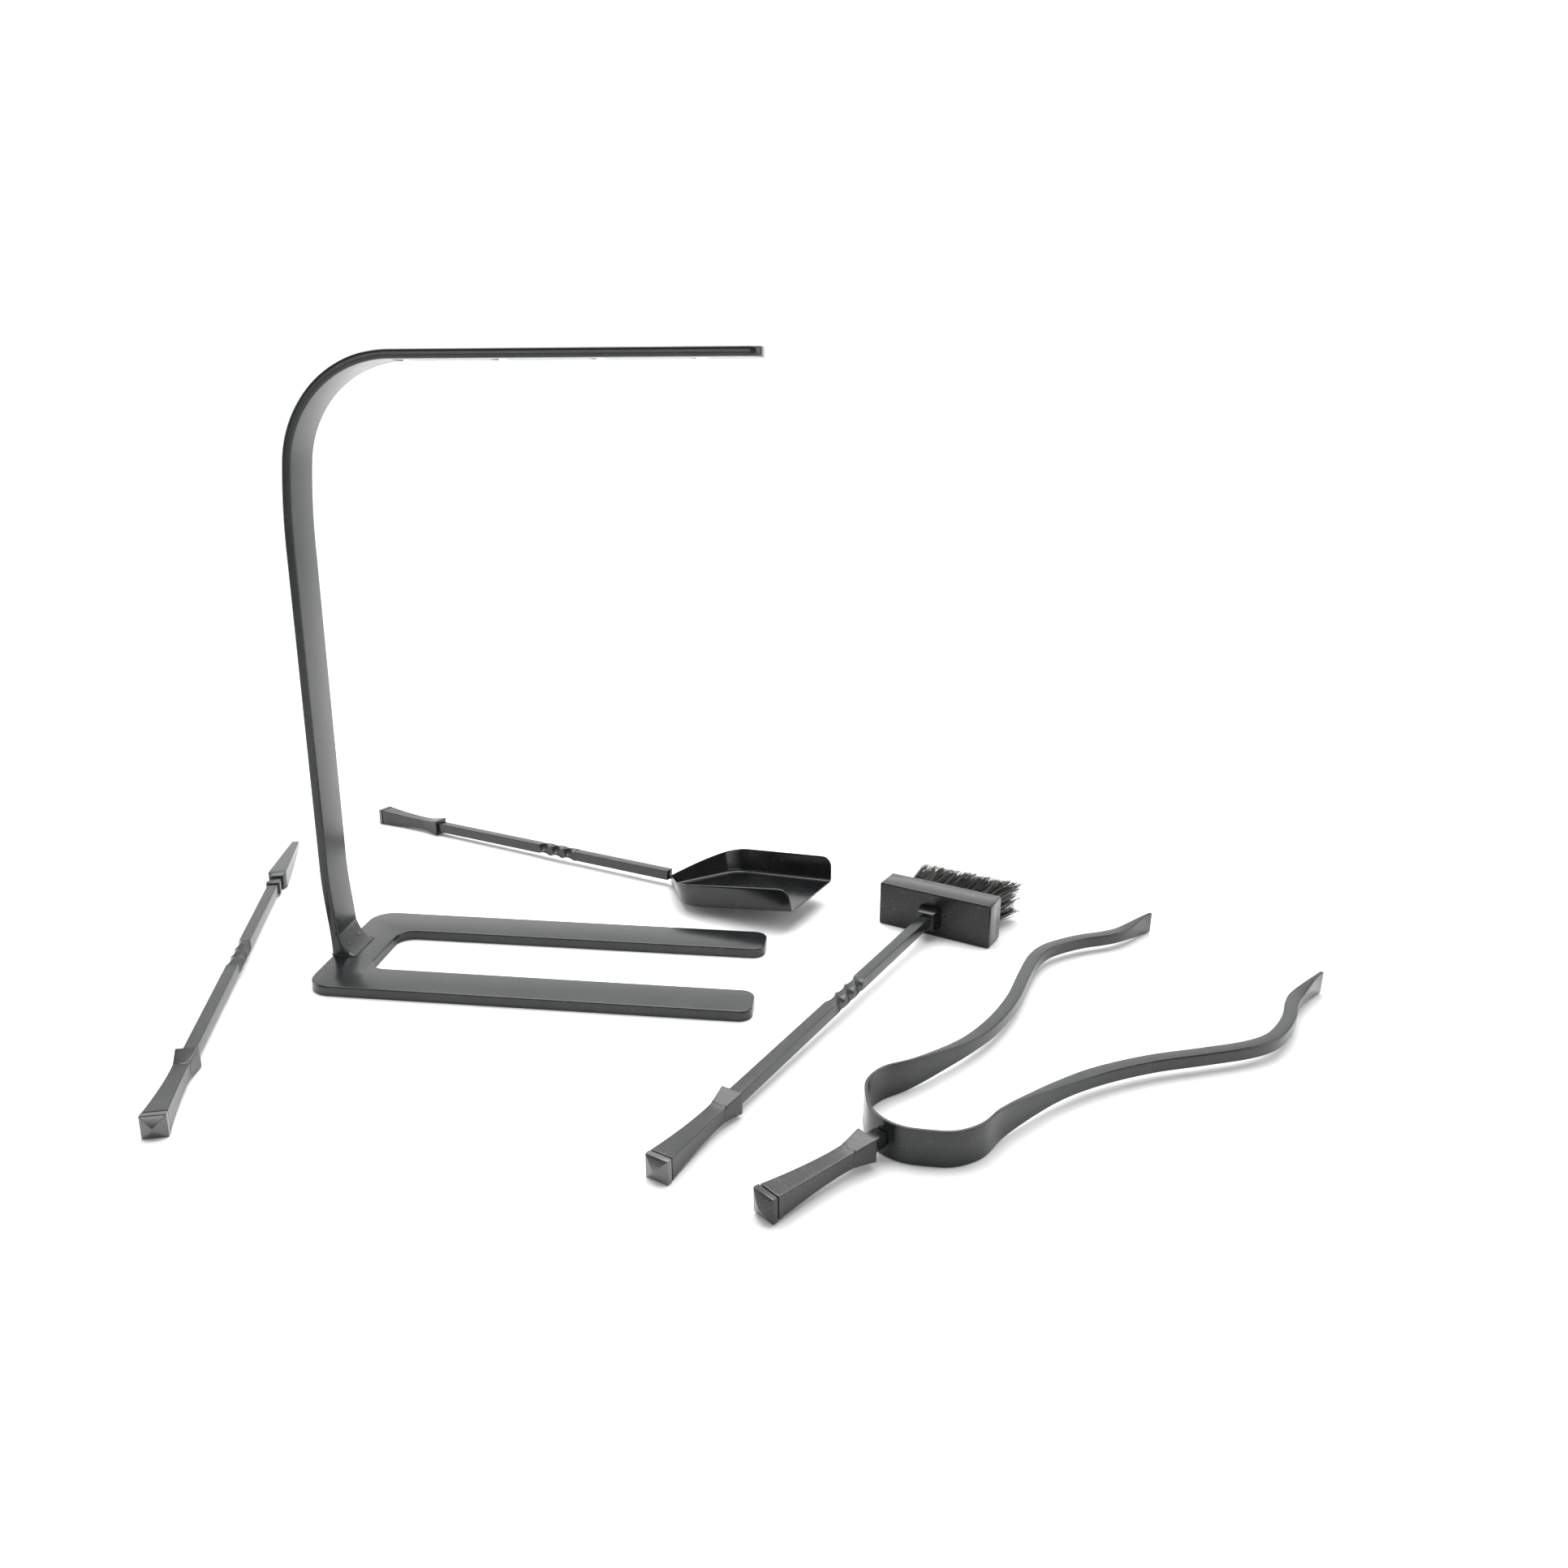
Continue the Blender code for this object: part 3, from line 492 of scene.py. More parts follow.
slot_blocks = []
for number in range(4):
    x = SLOT_FIRST + SLOT_PITCH * number
    low = (x - SLOT_WIDTH / 2, BAR_HALF_WIDTH - SLOT_DEPTH, TOP - CUT_PAST)
    high = (x + SLOT_WIDTH / 2, 2 * CUT_PAST, TOP + CUT_PAST)
    slot_blocks.append(block("slot_%d" % number, low, high))
bar = cut_away(stand_bar(), *slot_blocks)
finish(bar, "stand", satin_black, "stand_bar")
print("stand bar faces:", len(bar.data.polygons))

# %% [markdown]
# ## The forked base plate
# The plate is cut from sheet and its top edge is broken with a small radius. Its outline is worked out from
# eight round corners. Each corner is an arc about its own centre, and stepping every point inwards along the
# outline's normal while going up gives the rounded edge.

# %% The fork
PLATE_BACK, PLATE_HALF, LEG_WIDTH = -0.0247, 0.097, 0.048
PLATE_CORNER, FORK_CORNER, LEG_CORNER, PLATE_EDGE = 0.026, 0.019, 0.014, 0.0018
LOWER_EDGE = 0.0006


def arc(centre, radius, start, end, steps=12):
    """Points on an arc, and their outward directions; a negative radius makes a hollow corner."""
    t = np.radians(np.linspace(start, end, steps))
    away = np.stack([np.cos(t), np.sin(t)], 1)
    return np.asarray(centre) + abs(radius) * away, away * np.sign(radius)


def fork_outline():
    """The fork's outline and its outward normals, all round."""
    inner, slot_end = PLATE_HALF - LEG_WIDTH, -PLATE_BACK
    r, s, e = PLATE_CORNER, FORK_CORNER, LEG_CORNER
    parts = [
        arc((slot_end + s, inner - s), -s, 180, 90),
        arc((PLATE_FRONT - e, inner + e), e, 270, 360),
        arc((PLATE_FRONT - e, PLATE_HALF - e), e, 0, 90),
        arc((PLATE_BACK + r, PLATE_HALF - r), r, 90, 180, 16),
    ]
    points, normals = (np.concatenate([part[k] for part in parts]) for k in (0, 1))
    flip = np.array([1.0, -1.0])
    return np.concatenate([points, points[::-1] * flip]), np.concatenate([normals, normals[::-1] * flip])


def fork():
    """Stacked outlines: up the side, then in and up round a quarter circle at the top edge."""
    outline, normals = fork_outline()
    q = np.linspace(0, np.pi / 2, 5)
    inset = np.concatenate([[LOWER_EDGE, 0.0], PLATE_EDGE * (1 - np.cos(q))])
    height = np.concatenate([[0.0, LOWER_EDGE], PLATE_TOP - PLATE_EDGE * (1 - np.sin(q))])
    flat = outline[None] - normals[None] * inset[:, None, None]
    rings = np.concatenate([flat, np.broadcast_to(height[:, None, None], flat.shape[:2] + (1,))], -1)
    return stack_rings("base_fork_plate", rings, 40.0)


plate = finish(fork(), "stand", satin_black, "base_fork")
print("fork points:", len(plate.data.vertices))

# %% [markdown]
# ## Weld bead at the foot
# A thin bead of weld runs round the foot where it meets the plate. It is a thin round cord along a rounded
# rectangle, sunk by about half into both pieces, so only a fine line shows.

# %% The bead
FOOT_BACK = UPRIGHT_BACK + FOOT_TUCK
BEAD_RADIUS, BEAD_RAISE, BEAD_FLATTER, RIPPLE, RIPPLE_STEP = 0.0011, 0.0002, 0.9, 0.12, 2.1


def foot_bead():
    """A small round section carried round the foot's outline; the section's angle is the second parameter."""
    centre_x, half_long = FOOT_BACK + (FOOT_LENGTH - FOOT_TUCK) / 2, (FOOT_LENGTH - FOOT_TUCK) / 2
    outline = rounded_rings(half_long, BAR_HALF_WIDTH, BAR_EDGE, corner=6, side=14)[0]
    ahead = np.roll(outline, -1, 0) - np.roll(outline, 1, 0)
    normal = np.stack([ahead[:, 1], -ahead[:, 0]], 1) / np.hypot(*ahead.T)[:, None]
    t = np.linspace(0, 2 * np.pi, 9)[:-1]
    ripple = BEAD_RADIUS * (1 + RIPPLE * np.sin(np.arange(len(outline)) * RIPPLE_STEP))[:, None]
    flat = outline[:, None] + normal[:, None] * (ripple * np.cos(t))[..., None]
    z = PLATE_TOP + BEAD_RAISE + ripple * np.sin(t) * BEAD_FLATTER
    points = np.concatenate([flat[..., :1] + centre_x, flat[..., 1:], z[..., None]], -1)
    quads = grid_faces(len(outline) + 1, len(t)) % (len(outline) * len(t))
    flat_points = points.reshape(-1, 3)
    if face_volume(flat_points - flat_points.mean(0), quads) < 0:
        quads = quads[:, ::-1]
    return add_mesh("foot_weld_bead", flat_points, quads.tolist(), 80.0)


finish(foot_bead(), "stand", satin_black)

# %% [markdown]
# ## Grips and caps
# Each grip is forged from square bar: a long hollow taper runs from the cap to a narrow waist, and then the
# section flares to a flat collar that rests on the stand's arm. The cap is a square plate with a low pyramid,
# held a little off the grip, so that a dark groove shows all round. All four handles have the same shape.

# %% The handle's profile
CAP_PLATE, CAP_POINT, GROOVE = 0.0055, 0.0042, 0.0016
GRIP_START, GRIP_END = CAP_PLATE + GROOVE, 0.113
GRIP_FULL, GRIP_WAIST, GRIP_FACET = 0.0106, 0.0071, 0.0074
WAIST_AT, FACET_AT = 0.080, 0.0925
LIP, LIP_PAST, LIP_LONG, CREASE_BOW, CREASE_REACH = 0.0003, 0.0006, 0.0009, 0.0030, 0.006
CAP_EDGE = 0.0006


def grip_half(x):
    """Half the grip's width: a power curve down to the waist, a slight rise, then the flare to the collar.

    A low bump of 0.3 mm where the flare starts is the hammer's mark.
    """
    back, past, on = (np.clip(v, 0, 1) for v in (WAIST_AT - x, x - WAIST_AT, x - FACET_AT))
    taper = GRIP_WAIST + (GRIP_FULL - GRIP_WAIST) * (back / (WAIST_AT - GRIP_START)) ** 1.7
    rise = GRIP_WAIST + (GRIP_FACET - GRIP_WAIST) * (past / (FACET_AT - WAIST_AT)) ** 2
    flare = GRIP_FACET + (GRIP_FULL - GRIP_FACET) * (on / (GRIP_END - FACET_AT)) ** 0.9
    lip = LIP * np.exp(-(((x - FACET_AT - LIP_PAST) / LIP_LONG) ** 2))
    return np.where(x <= WAIST_AT, taper, np.where(x <= FACET_AT, rise, flare)) + lip


def crease_bow(x, across, up):
    """Move face centres towards the cap at the flare's foot: CREASE_BOW * (1 - (distance from middle)^2)."""
    near = np.exp(-(((x - FACET_AT) / CREASE_REACH) ** 2))
    off = np.minimum(np.abs(across), np.abs(up))
    return CREASE_BOW * near * (off**2 - 1.0)


def cap(tool):
    """The cap: rings that grow from the point, round off over CAP_EDGE and then go straight back."""
    rise = np.linspace(0, 1, 7)
    x = np.concatenate([-CAP_POINT * (1 - rise**1.15), [CAP_EDGE / 3, CAP_EDGE, CAP_PLATE]])
    pyramid = CAP_EDGE / 2 + (CAP_HALF - 1.5 * CAP_EDGE) * rise
    half = np.concatenate([pyramid, [CAP_HALF - CAP_EDGE / 2, CAP_HALF, CAP_HALF]])
    return straight_bar(tool + "_cap_forged", tool, x, half, half, 0.0005, end=0.0001, angle=28.0)


def grip(tool):
    """The grip: stations every 2 mm, and closer round the crease, with the flare's foot bowed."""
    x = np.unique(np.concatenate([np.linspace(GRIP_START, GRIP_END, 54),
                                  FACET_AT + np.linspace(-0.004, 0.004, 17)]))
    half = grip_half(x)
    return straight_bar(tool + "_grip_forged", tool, x, half, half, 0.0007, end=0.0005, side=9,
                        bow=crease_bow, angle=22.0)


for tool in TOOLS:
    # The tongs' cap gets the grips' coat, without the paler colour that paints sheen on the other caps.
    finish(cap(tool), tool, handle_black if tool == "tongs" else cap_black, tool + "_cap")
    finish(grip(tool), tool, handle_black, tool + "_grip")
print("handles built:", len(TOOLS))

# %% [markdown]
# ## Twisted shafts
# The smith heats one stretch of the square bar and turns one end through three quarters of a turn. In numbers
# the section is the same all along, and only its angle grows. The angle eases in and out over a few
# millimetres, because the metal beside the hot stretch twists a little too.

# %% The shafts
BAR_HALF, TWIST_START, TWIST_LENGTH = 0.00625, 0.297, 0.063
BAR_CORNER, BAR_END = 0.0007, 0.0004
SOCKET, TWIST_TURN, TWIST_EASE = 0.010, -1.5 * np.pi, 0.06


def twist_angle(x):
    """TWIST_TURN spread over the twist with eased ends; seen from the cap the bar turns anticlockwise."""
    t = np.clip((x - TWIST_START) / TWIST_LENGTH, 0, 1)
    return TWIST_TURN * (t - TWIST_EASE * np.sin(2 * np.pi * t) / (2 * np.pi))


def shaft(tool, end):
    """A square bar from just inside the grip to end."""
    x = np.concatenate([np.linspace(GRIP_END - SOCKET, TWIST_START, 24)[:-1],
                        np.linspace(TWIST_START, TWIST_START + TWIST_LENGTH, 90),
                        np.linspace(TWIST_START + TWIST_LENGTH, end, 24)[1:]])
    name, turn = tool + "_shaft_twisted", twist_angle(x)
    return straight_bar(name, tool, x, BAR_HALF, BAR_HALF, BAR_CORNER, BAR_END, turn, angle=45.0)


RING_AT, RING_LENGTH, RING_HALF = 0.5275, 0.009, 0.0083
POKER_SHAFT_END, SHOVEL_SHAFT_END, HEAD_AT = 0.5502, 0.5062, 0.5495
for tool, end in (("poker", POKER_SHAFT_END), ("shovel", SHOVEL_SHAFT_END), ("brush", HEAD_AT - 0.0003)):
    finish(shaft(tool, end), tool, satin_black, tool + "_shaft")
print("twist:", round(TWIST_LENGTH * 1000), "mm for 270 degrees")

# %% [markdown]
# ## The poker's end
# A small square ring sits on the shaft, and the tip behind it is forged from thicker bar. It steps up with a
# short bevel and then tapers for about 13 cm to a small rounded nose.

# %% Ring and tip
TIP_AT, TIP_END, TIP_BEVEL, TIP_NOSE = 0.5505, 0.697, 0.010, 0.005
TIP_FULL, TIP_STEP, TIP_WIDE, TIP_TALL_END = CAP_HALF, 0.0085, 0.0050, 0.0042
RING_BEVEL, RING_LESS = 0.0012, 0.0005
ring_x = RING_AT + np.array([0.0, RING_BEVEL, RING_LENGTH - RING_BEVEL, RING_LENGTH])
ring_half = RING_HALF - np.array([RING_LESS, 0.0, 0.0, RING_LESS])
ring = straight_bar("poker_ring_forged", "poker", ring_x, ring_half, ring_half, 0.0009, end=0.0004)
finish(ring, "poker", satin_black, "poker_ring")


def poker_tip():
    """Half sizes: a bevel up from the shaft, a straight taper, and a rounded nose from a quarter ellipse."""
    bevel = np.linspace(TIP_AT, TIP_AT + TIP_BEVEL, 8)
    taper = np.linspace(TIP_AT + 1.3 * TIP_BEVEL, TIP_END - TIP_NOSE, 40)
    nose_t = np.linspace(0, np.pi / 2, 9)[1:]
    nose = TIP_END - TIP_NOSE + 0.96 * TIP_NOSE * np.sin(nose_t)
    x = np.concatenate([bevel, taper, nose])
    fall = (taper - taper[0]) / (taper[-1] - taper[0])
    up = TIP_STEP + (TIP_FULL - TIP_STEP) * np.sin(np.linspace(0, np.pi / 2, 8))
    closing = 0.25 + 0.75 * np.cos(nose_t)
    wide, tall = (np.concatenate([up, TIP_FULL + (last - TIP_FULL) * fall, last * closing])
                  for last in (TIP_WIDE, TIP_TALL_END))
    return straight_bar("poker_tip_forged", "poker", x, wide, tall, 0.0010, end=0.0002, side=2, angle=30.0)


finish(poker_tip(), "poker", satin_black, "poker_tip")

# %% [markdown]
# ## The shovel's pan
# The pan is one sheet, folded up round the back and sides and open at the front. It is drawn as a grid. One
# parameter runs along the fold, from one front corner round the back to the other. The second starts at the
# rim, comes down the wall, turns through the fold's radius and crosses the floor to the middle line.

# %% The pan's shape
PAN_AT, PAN_PITCH = (0.5105, 0.0, -0.0148), np.radians(7.3 - SHOVEL["rise"])
PAN_BACK, PAN_BACK_HALF, PAN_FRONT_HALF, PAN_LENGTH = 0.0590, 0.0665, 0.0545, 0.2010
PAN_WALL, PAN_WALL_AT_SHAFT, PAN_LEAN, PAN_CORNER = 0.0295, 0.0110, 0.21, 0.018
PAN_SHEET, PAN_FOLD, PAN_RIM_CORNER, PAN_LEAST_WALL, PAN_SPINE_START = 0.0020, 0.0040, 0.013, 0.008, 0.008


def pan_fold_line():
    """Half of the fold line, from the shaft outwards: a straight, a corner from a parabola, a straight."""
    corner = np.array([PAN_BACK, PAN_BACK_HALF])
    slope = corner / np.hypot(*corner)
    start, front = corner - slope * PAN_CORNER, np.array([PAN_LENGTH, PAN_FRONT_HALF])
    leave = (front - corner) / np.hypot(*(front - corner))
    end = corner + leave * PAN_CORNER
    a, t = np.linspace(0.0, 1.0, 18)[:-1, None], np.linspace(0, 1, 14)[:, None]
    b = np.concatenate([np.linspace(0, 0.9, 16)[1:], np.linspace(0.91, 1.0, 16)])[:, None]
    bend = (1 - t) ** 2 * start + 2 * t * (1 - t) * corner + t**2 * end
    return np.concatenate([a * start, bend, end + b * (front - end)])


def pan():
    """The sheet's inner surface as a grid, thickened outwards by a Solidify modifier."""
    half = pan_fold_line()
    ahead = np.gradient(half, axis=0)
    normal = np.stack([-ahead[:, 1], ahead[:, 0]], 1) / np.hypot(*ahead.T)[:, None]
    round_apex = np.exp(-((half[:, 0] / 0.006) ** 2))[:, None]
    normal = normal * (1 - round_apex) + np.array([-1.0, 0.0]) * round_apex
    normal /= np.hypot(*normal.T)[:, None]
    rise = np.clip(half[:, 0] / (PAN_BACK + PAN_CORNER), 0, 1)
    wall = PAN_WALL_AT_SHAFT + (PAN_WALL - PAN_WALL_AT_SHAFT) * np.sin(rise * np.pi / 2) ** 0.9
    to_front = np.clip((half[:, 0] - (PAN_LENGTH - PAN_RIM_CORNER)) / PAN_RIM_CORNER, 0, 0.985)
    wall = np.maximum(wall - PAN_RIM_CORNER * (1 - np.sqrt(1 - to_front**2)), PAN_LEAST_WALL)
    turn = np.arctan(PAN_LEAN)
    down = np.linspace(1, 0, 12)[:-1]
    q = np.linspace(0, np.pi / 2 - turn, 9)
    fold_out = PAN_FOLD * (np.cos(q + turn) - np.cos(turn))
    fold_up = PAN_FOLD * (1 - np.sin(q + turn))
    above = (wall - fold_up[0])[:, None] * down
    out, z = (np.concatenate([fold[0] + slant * above, np.broadcast_to(fold, (len(half), len(q)))], 1)
              for fold, slant in ((fold_out, PAN_LEAN), (fold_up, 1.0)))
    xy = half[:, None] + normal[:, None] * out[..., None]
    floor = np.linspace(0, 1, 10)[1:]
    inside, x_middle = xy[:, -1], np.clip(half[:, 0], PAN_SPINE_START, PAN_LENGTH)
    middle = np.stack([x_middle, 0 * x_middle], 1)
    spokes = inside[:, None] + (middle - inside)[:, None] * floor[None, :, None]
    xy = np.concatenate([xy, spokes], 1)
    xy[..., 1] = np.maximum(xy[..., 1], 0.0)
    z = np.concatenate([z, np.zeros((len(half), len(floor)))], 1)
    side = np.concatenate([xy, z[..., None] + PAN_SHEET], -1)
    other = side * np.array([1.0, -1.0, 1.0])
    columns = side.shape[1]
    quads = grid_faces(len(half), columns, close=False)
    points = np.concatenate([side.reshape(-1, 3), other.reshape(-1, 3)])
    faces = np.concatenate([quads[:, ::-1], quads + len(half) * columns])
    c, s = np.cos(PAN_PITCH), np.sin(PAN_PITCH)
    x, y, z = points.T
    turned = np.stack([x * c - z * s, y, x * s + z * c], 1)
    return add_mesh("shovel_pan_folded", placed(turned + PAN_AT, **SHOVEL), faces.tolist(), 50.0)


def weld_and_thicken(obj, thickness, rim):
    """Merge doubled points, drop faces of no area, make normals agree, then thicken and round the rim."""
    bm = bmesh.new()
    bm.from_mesh(obj.data)
    bmesh.ops.remove_doubles(bm, verts=bm.verts, dist=2e-5)
    bmesh.ops.dissolve_degenerate(bm, edges=bm.edges, dist=1e-6)
    bmesh.ops.recalc_face_normals(bm, faces=bm.faces)
    bm.to_mesh(obj.data)
    bm.free()
    up = np.empty(len(obj.data.polygons) * 3)
    obj.data.polygons.foreach_get("normal", up)
    if up[2::3].sum() < 0:
        obj.data.flip_normals()
    solid = obj.modifiers.new("sheet", "SOLIDIFY")
    solid.thickness, solid.offset, solid.use_even_offset = thickness, -1.0, True
    edge = obj.modifiers.new("rim", "BEVEL")
    edge.width, edge.segments, edge.limit_method, edge.angle_limit = rim, 2, "ANGLE", np.radians(60)


pan_sheet = pan()
weld_and_thicken(pan_sheet, PAN_SHEET, 0.0006)
finish(pan_sheet, "shovel", pan_black, "shovel_pan")
print("pan points:", len(pan_sheet.data.vertices))

# %% [markdown]
# ## The brush
# A square ferrule joins the shaft to a shallow steel box. The box is a folded shell with soft edges, open at
# the back, and the wooden block that holds the bristles fills it. Two small rivets beside the ferrule hold
# the box to the block.

# %% Ferrule, head and rivets
HEAD_DEPTH, HEAD_HALF, HEAD_TALL, HEAD_SHIFT, HEAD_RAISE = 0.034, 0.0685, 0.0265, -0.0033, 0.0019
FERRULE_LENGTH, FERRULE_HALF, FERRULE_FRONT_HALF = 0.017, 0.0125, 0.0100
RIVET_SIDE, RIVETS_UP, RIVET_RADIUS, RIVET_HEIGHT = -0.0180, (-0.0075, 0.0035), 0.0018, 0.0011


def brush_head():
    """The shell: rings along X that go in over the open back's lip and forward along the inside wall."""
    wall, edge = 0.0016, 0.0020
    q = np.linspace(0, np.pi / 2, 6)
    front_x, front_in = HEAD_AT + edge * (1 - np.sin(q[::-1])), edge * (1 - np.cos(q[::-1]))
    back = HEAD_AT + HEAD_DEPTH
    lip, corner = 0.0004, wall + 0.001
    x = np.concatenate([front_x, back - lip * np.array([1.5, 0, 0, 1.5]), [HEAD_AT + corner, HEAD_AT + wall]])
    inset = np.concatenate([front_in, [0, lip, wall - lip, wall, wall, corner]])
    yz = rounded_rings(HEAD_HALF - inset, HEAD_TALL - inset, np.maximum(0.0024 - 0.5 * inset, 0.0008), side=6)
    yz = yz + (HEAD_SHIFT, HEAD_RAISE)
    along = np.broadcast_to(x[:, None, None], yz.shape[:2] + (1,))
    return stack_rings("brush_head_shell", placed(np.concatenate([along, yz], -1), **BRUSH), 50.0)


finish(brush_head(), "brush", head_black, "brush_head")
ferrule_x = np.array([HEAD_AT - FERRULE_LENGTH, HEAD_AT - 0.0003])
ferrule_half = np.array([FERRULE_FRONT_HALF, FERRULE_HALF])
ferrule = straight_bar("brush_ferrule_square", "brush", ferrule_x, ferrule_half, ferrule_half, 0.001, 0.0007)
finish(ferrule, "brush", head_black, "brush_ferrule")


def dome(name, tool, centre, radius, height):
    """A low dome facing the cap: radius * sin t across and height * cos t towards -X."""
    t, turn = np.linspace(0.04, np.pi / 2, 7), np.linspace(0, 2 * np.pi, 17)[:-1]
    x = centre[0] - height * np.cos(t)[:, None] + 0 * turn
    y = centre[1] + radius * np.sin(t)[:, None] * np.cos(turn)
    z = centre[2] + radius * np.sin(t)[:, None] * np.sin(turn)
    return stack_rings(name, placed(np.stack([x, y, z], -1), **TOOLS[tool]), 60.0)


for number, up in enumerate(RIVETS_UP, 1):
    rivet = dome("brush_rivet_%d" % number, "brush", (HEAD_AT, RIVET_SIDE, up), RIVET_RADIUS, RIVET_HEIGHT)
    finish(rivet, "brush", head_black)

# %% [markdown]
# ## Bristles
# Bristles are set in tufts, a bundle to each hole in the block. Every fibre is a thin three-sided spike that
# starts in its hole, leans out with its tuft and bends a little. All the fibres are worked out in one array:
# the axes are fibre, place along it, and corner of its section. Seeded random numbers make each run the same.

# %% Plant the fibres
BRISTLE_HALF, BRISTLE_FAN, BRISTLE_LENGTH, BRISTLE_LEAN = 0.055, 0.006, 0.072, -0.0065
TUFT_ROWS, TUFTS_IN_ROW, FIBRES_IN_TUFT = 5, 17, 20
TUFT_SPREAD, ROW_REACH, FIBRE_HALF, BRISTLE_HALF_TALL = 0.0022, 0.0140, 0.00040, 0.0187
LEAN_SCATTER, LIFT_SCATTER, BEND_SCATTER, BEND_UP_SCATTER = 0.0042, 0.0013, 0.0026, 0.0011
TUFT_LEAN, TUFT_LIFT, TUFT_SHORT, ROW_LIFT = 0.0022, 0.0007, 0.0025, 0.0030
LONGEST, SHORTER = BRISTLE_LENGTH + 0.005, 0.0045


def bristles(seed):
    """Fibres (n, steps, 3 corners, 3): root + length * t along, plus lean * t**1.4 and a bend of t**3."""
    dice = np.random.default_rng(seed)
    row, column = np.meshgrid(np.arange(TUFT_ROWS), np.arange(TUFTS_IN_ROW), indexing="ij")
    v = (row.ravel() / (TUFT_ROWS - 1) * 2 - 1) + dice.normal(0, 0.02, row.size)
    u = (column.ravel() / (TUFTS_IN_ROW - 1) * 2 - 1) + dice.normal(0, 0.006, row.size)
    u = u + (row.ravel() % 2 - 0.5) / TUFTS_IN_ROW
    u, v = (np.repeat(k, FIBRES_IN_TUFT) for k in (u, v))
    n = len(u)
    spread, angle = TUFT_SPREAD * np.sqrt(dice.random(n)), dice.random(n) * 2 * np.pi
    root_y = u * (BRISTLE_HALF - 0.004) + spread * np.cos(angle)
    root_z = v * ROW_REACH + spread * np.sin(angle)
    tuft = np.repeat(dice.normal(0, 1, (TUFT_ROWS * TUFTS_IN_ROW, 3)), FIBRES_IN_TUFT, 0)
    lean_y = u * BRISTLE_FAN + BRISTLE_LEAN * 0.7 + dice.normal(0, LEAN_SCATTER, n) + TUFT_LEAN * tuft[:, 0]
    lean_z = v * ROW_LIFT + dice.normal(0, LIFT_SCATTER, n) + TUFT_LIFT * tuft[:, 1]
    bend_y, bend_z = dice.normal(0, BEND_SCATTER, n), dice.normal(0, BEND_UP_SCATTER, n)
    length = LONGEST - np.abs(dice.normal(0, SHORTER, n)) - TUFT_SHORT * np.abs(tuft[:, 2])
    t = np.linspace(0, 1, 6)[None]
    x = HEAD_AT + HEAD_DEPTH - 0.006 + length[:, None] * t
    y = HEAD_SHIFT + BRISTLE_LEAN * 0.3 + root_y[:, None] + lean_y[:, None] * t**1.4 + bend_y[:, None] * t**3
    z = root_z[:, None] + lean_z[:, None] * t**1.4 + bend_z[:, None] * t**3
    z = np.clip(z, -BRISTLE_HALF_TALL, BRISTLE_HALF_TALL) + HEAD_RAISE
    corner = np.arange(3) * 2 * np.pi / 3
    thick = FIBRE_HALF * (1 - 0.5 * t**4)
    ring_y = y[..., None] + thick[..., None] * np.cos(corner)
    ring_z = z[..., None] + thick[..., None] * np.sin(corner)
    points = np.stack([np.broadcast_to(x[..., None], ring_y.shape), ring_y, ring_z], -1)
    steps = points.shape[1]
    one = grid_faces(steps, 3)
    starts = (np.arange(n) * steps * 3)[:, None, None]
    quads = (one[None] + starts).reshape(-1, 4)
    tips = np.array([[steps * 3 - 3, steps * 3 - 2, steps * 3 - 1]]) + starts[:, 0]
    roots = np.array([[2, 1, 0]]) + starts[:, 0]
    obj = add_mesh("brush_bristles_%d" % seed, placed(points.reshape(-1, 3), **BRUSH),
                   quads.tolist() + tips.tolist() + roots.tolist(), 80.0)
    shade, height = np.repeat(dice.random(n) ** 4.0, steps * 3), np.tile(np.repeat(t[0], 3), n)
    for name, value in (("fibre_shade", shade), ("fibre_height", height)):
        attribute = obj.data.attributes.new(name, "FLOAT", "POINT")
        attribute.data.foreach_set("value", value.astype(np.float32))
    return obj


finish(bristles(1), "brush", fibre, "brush_bristles")
finish(bristles(2), "brush", fibre)
print("fibres:", 2 * TUFT_ROWS * TUFTS_IN_ROW * FIBRES_IN_TUFT, "points each:", 18)

# %% [markdown]
# ## The tongs' strap
# The tongs are one bar. In the middle it is beaten to a wide thin strap that springs, it thickens to a square
# section along the arms, and it is flattened again at the tips. The centre line is a smooth curve through a
# few knots. Each half is a piece of its own, and both halves meet behind the rivet.

# %% The strap's centre line
STRAP_THICK, STRAP_TALL, NECK_GAP = 0.0030, 0.0330, 0.0006
ARM_THICK, ARM_TALL, TIP_THICK, TIP_TALL, TIP_EDGE = 0.0130, 0.0125, 0.0040, 0.0240, 0.0008
BOW_AT = NECK_END + NECK_GAP + STRAP_THICK / 2
KNOTS = np.array([
    (BOW_AT, 0.0), (BOW_AT + 0.0035, 0.0170), (0.146, 0.0325), (0.164, 0.0490), (0.190, 0.0552),
    (0.222, 0.0500), (0.262, 0.0488), (0.305, 0.0507), (0.352, 0.0590), (0.405, 0.0766), (0.455, 0.1002),
    (0.498, 0.1195), (0.530, 0.1268), (0.560, 0.1240), (0.588, 0.1168), (0.613, 0.1070), (0.640, 0.1008),
    (0.696, 0.0988),
])
# Where along the axis the strap thickens, narrows, gets rounder edges, and is flattened for the tip.
THICKENS, NARROWS, ROUNDS, FLATTENS = (0.215, 0.345), (0.185, 0.325), (0.24, 0.36), (0.632, 0.690)


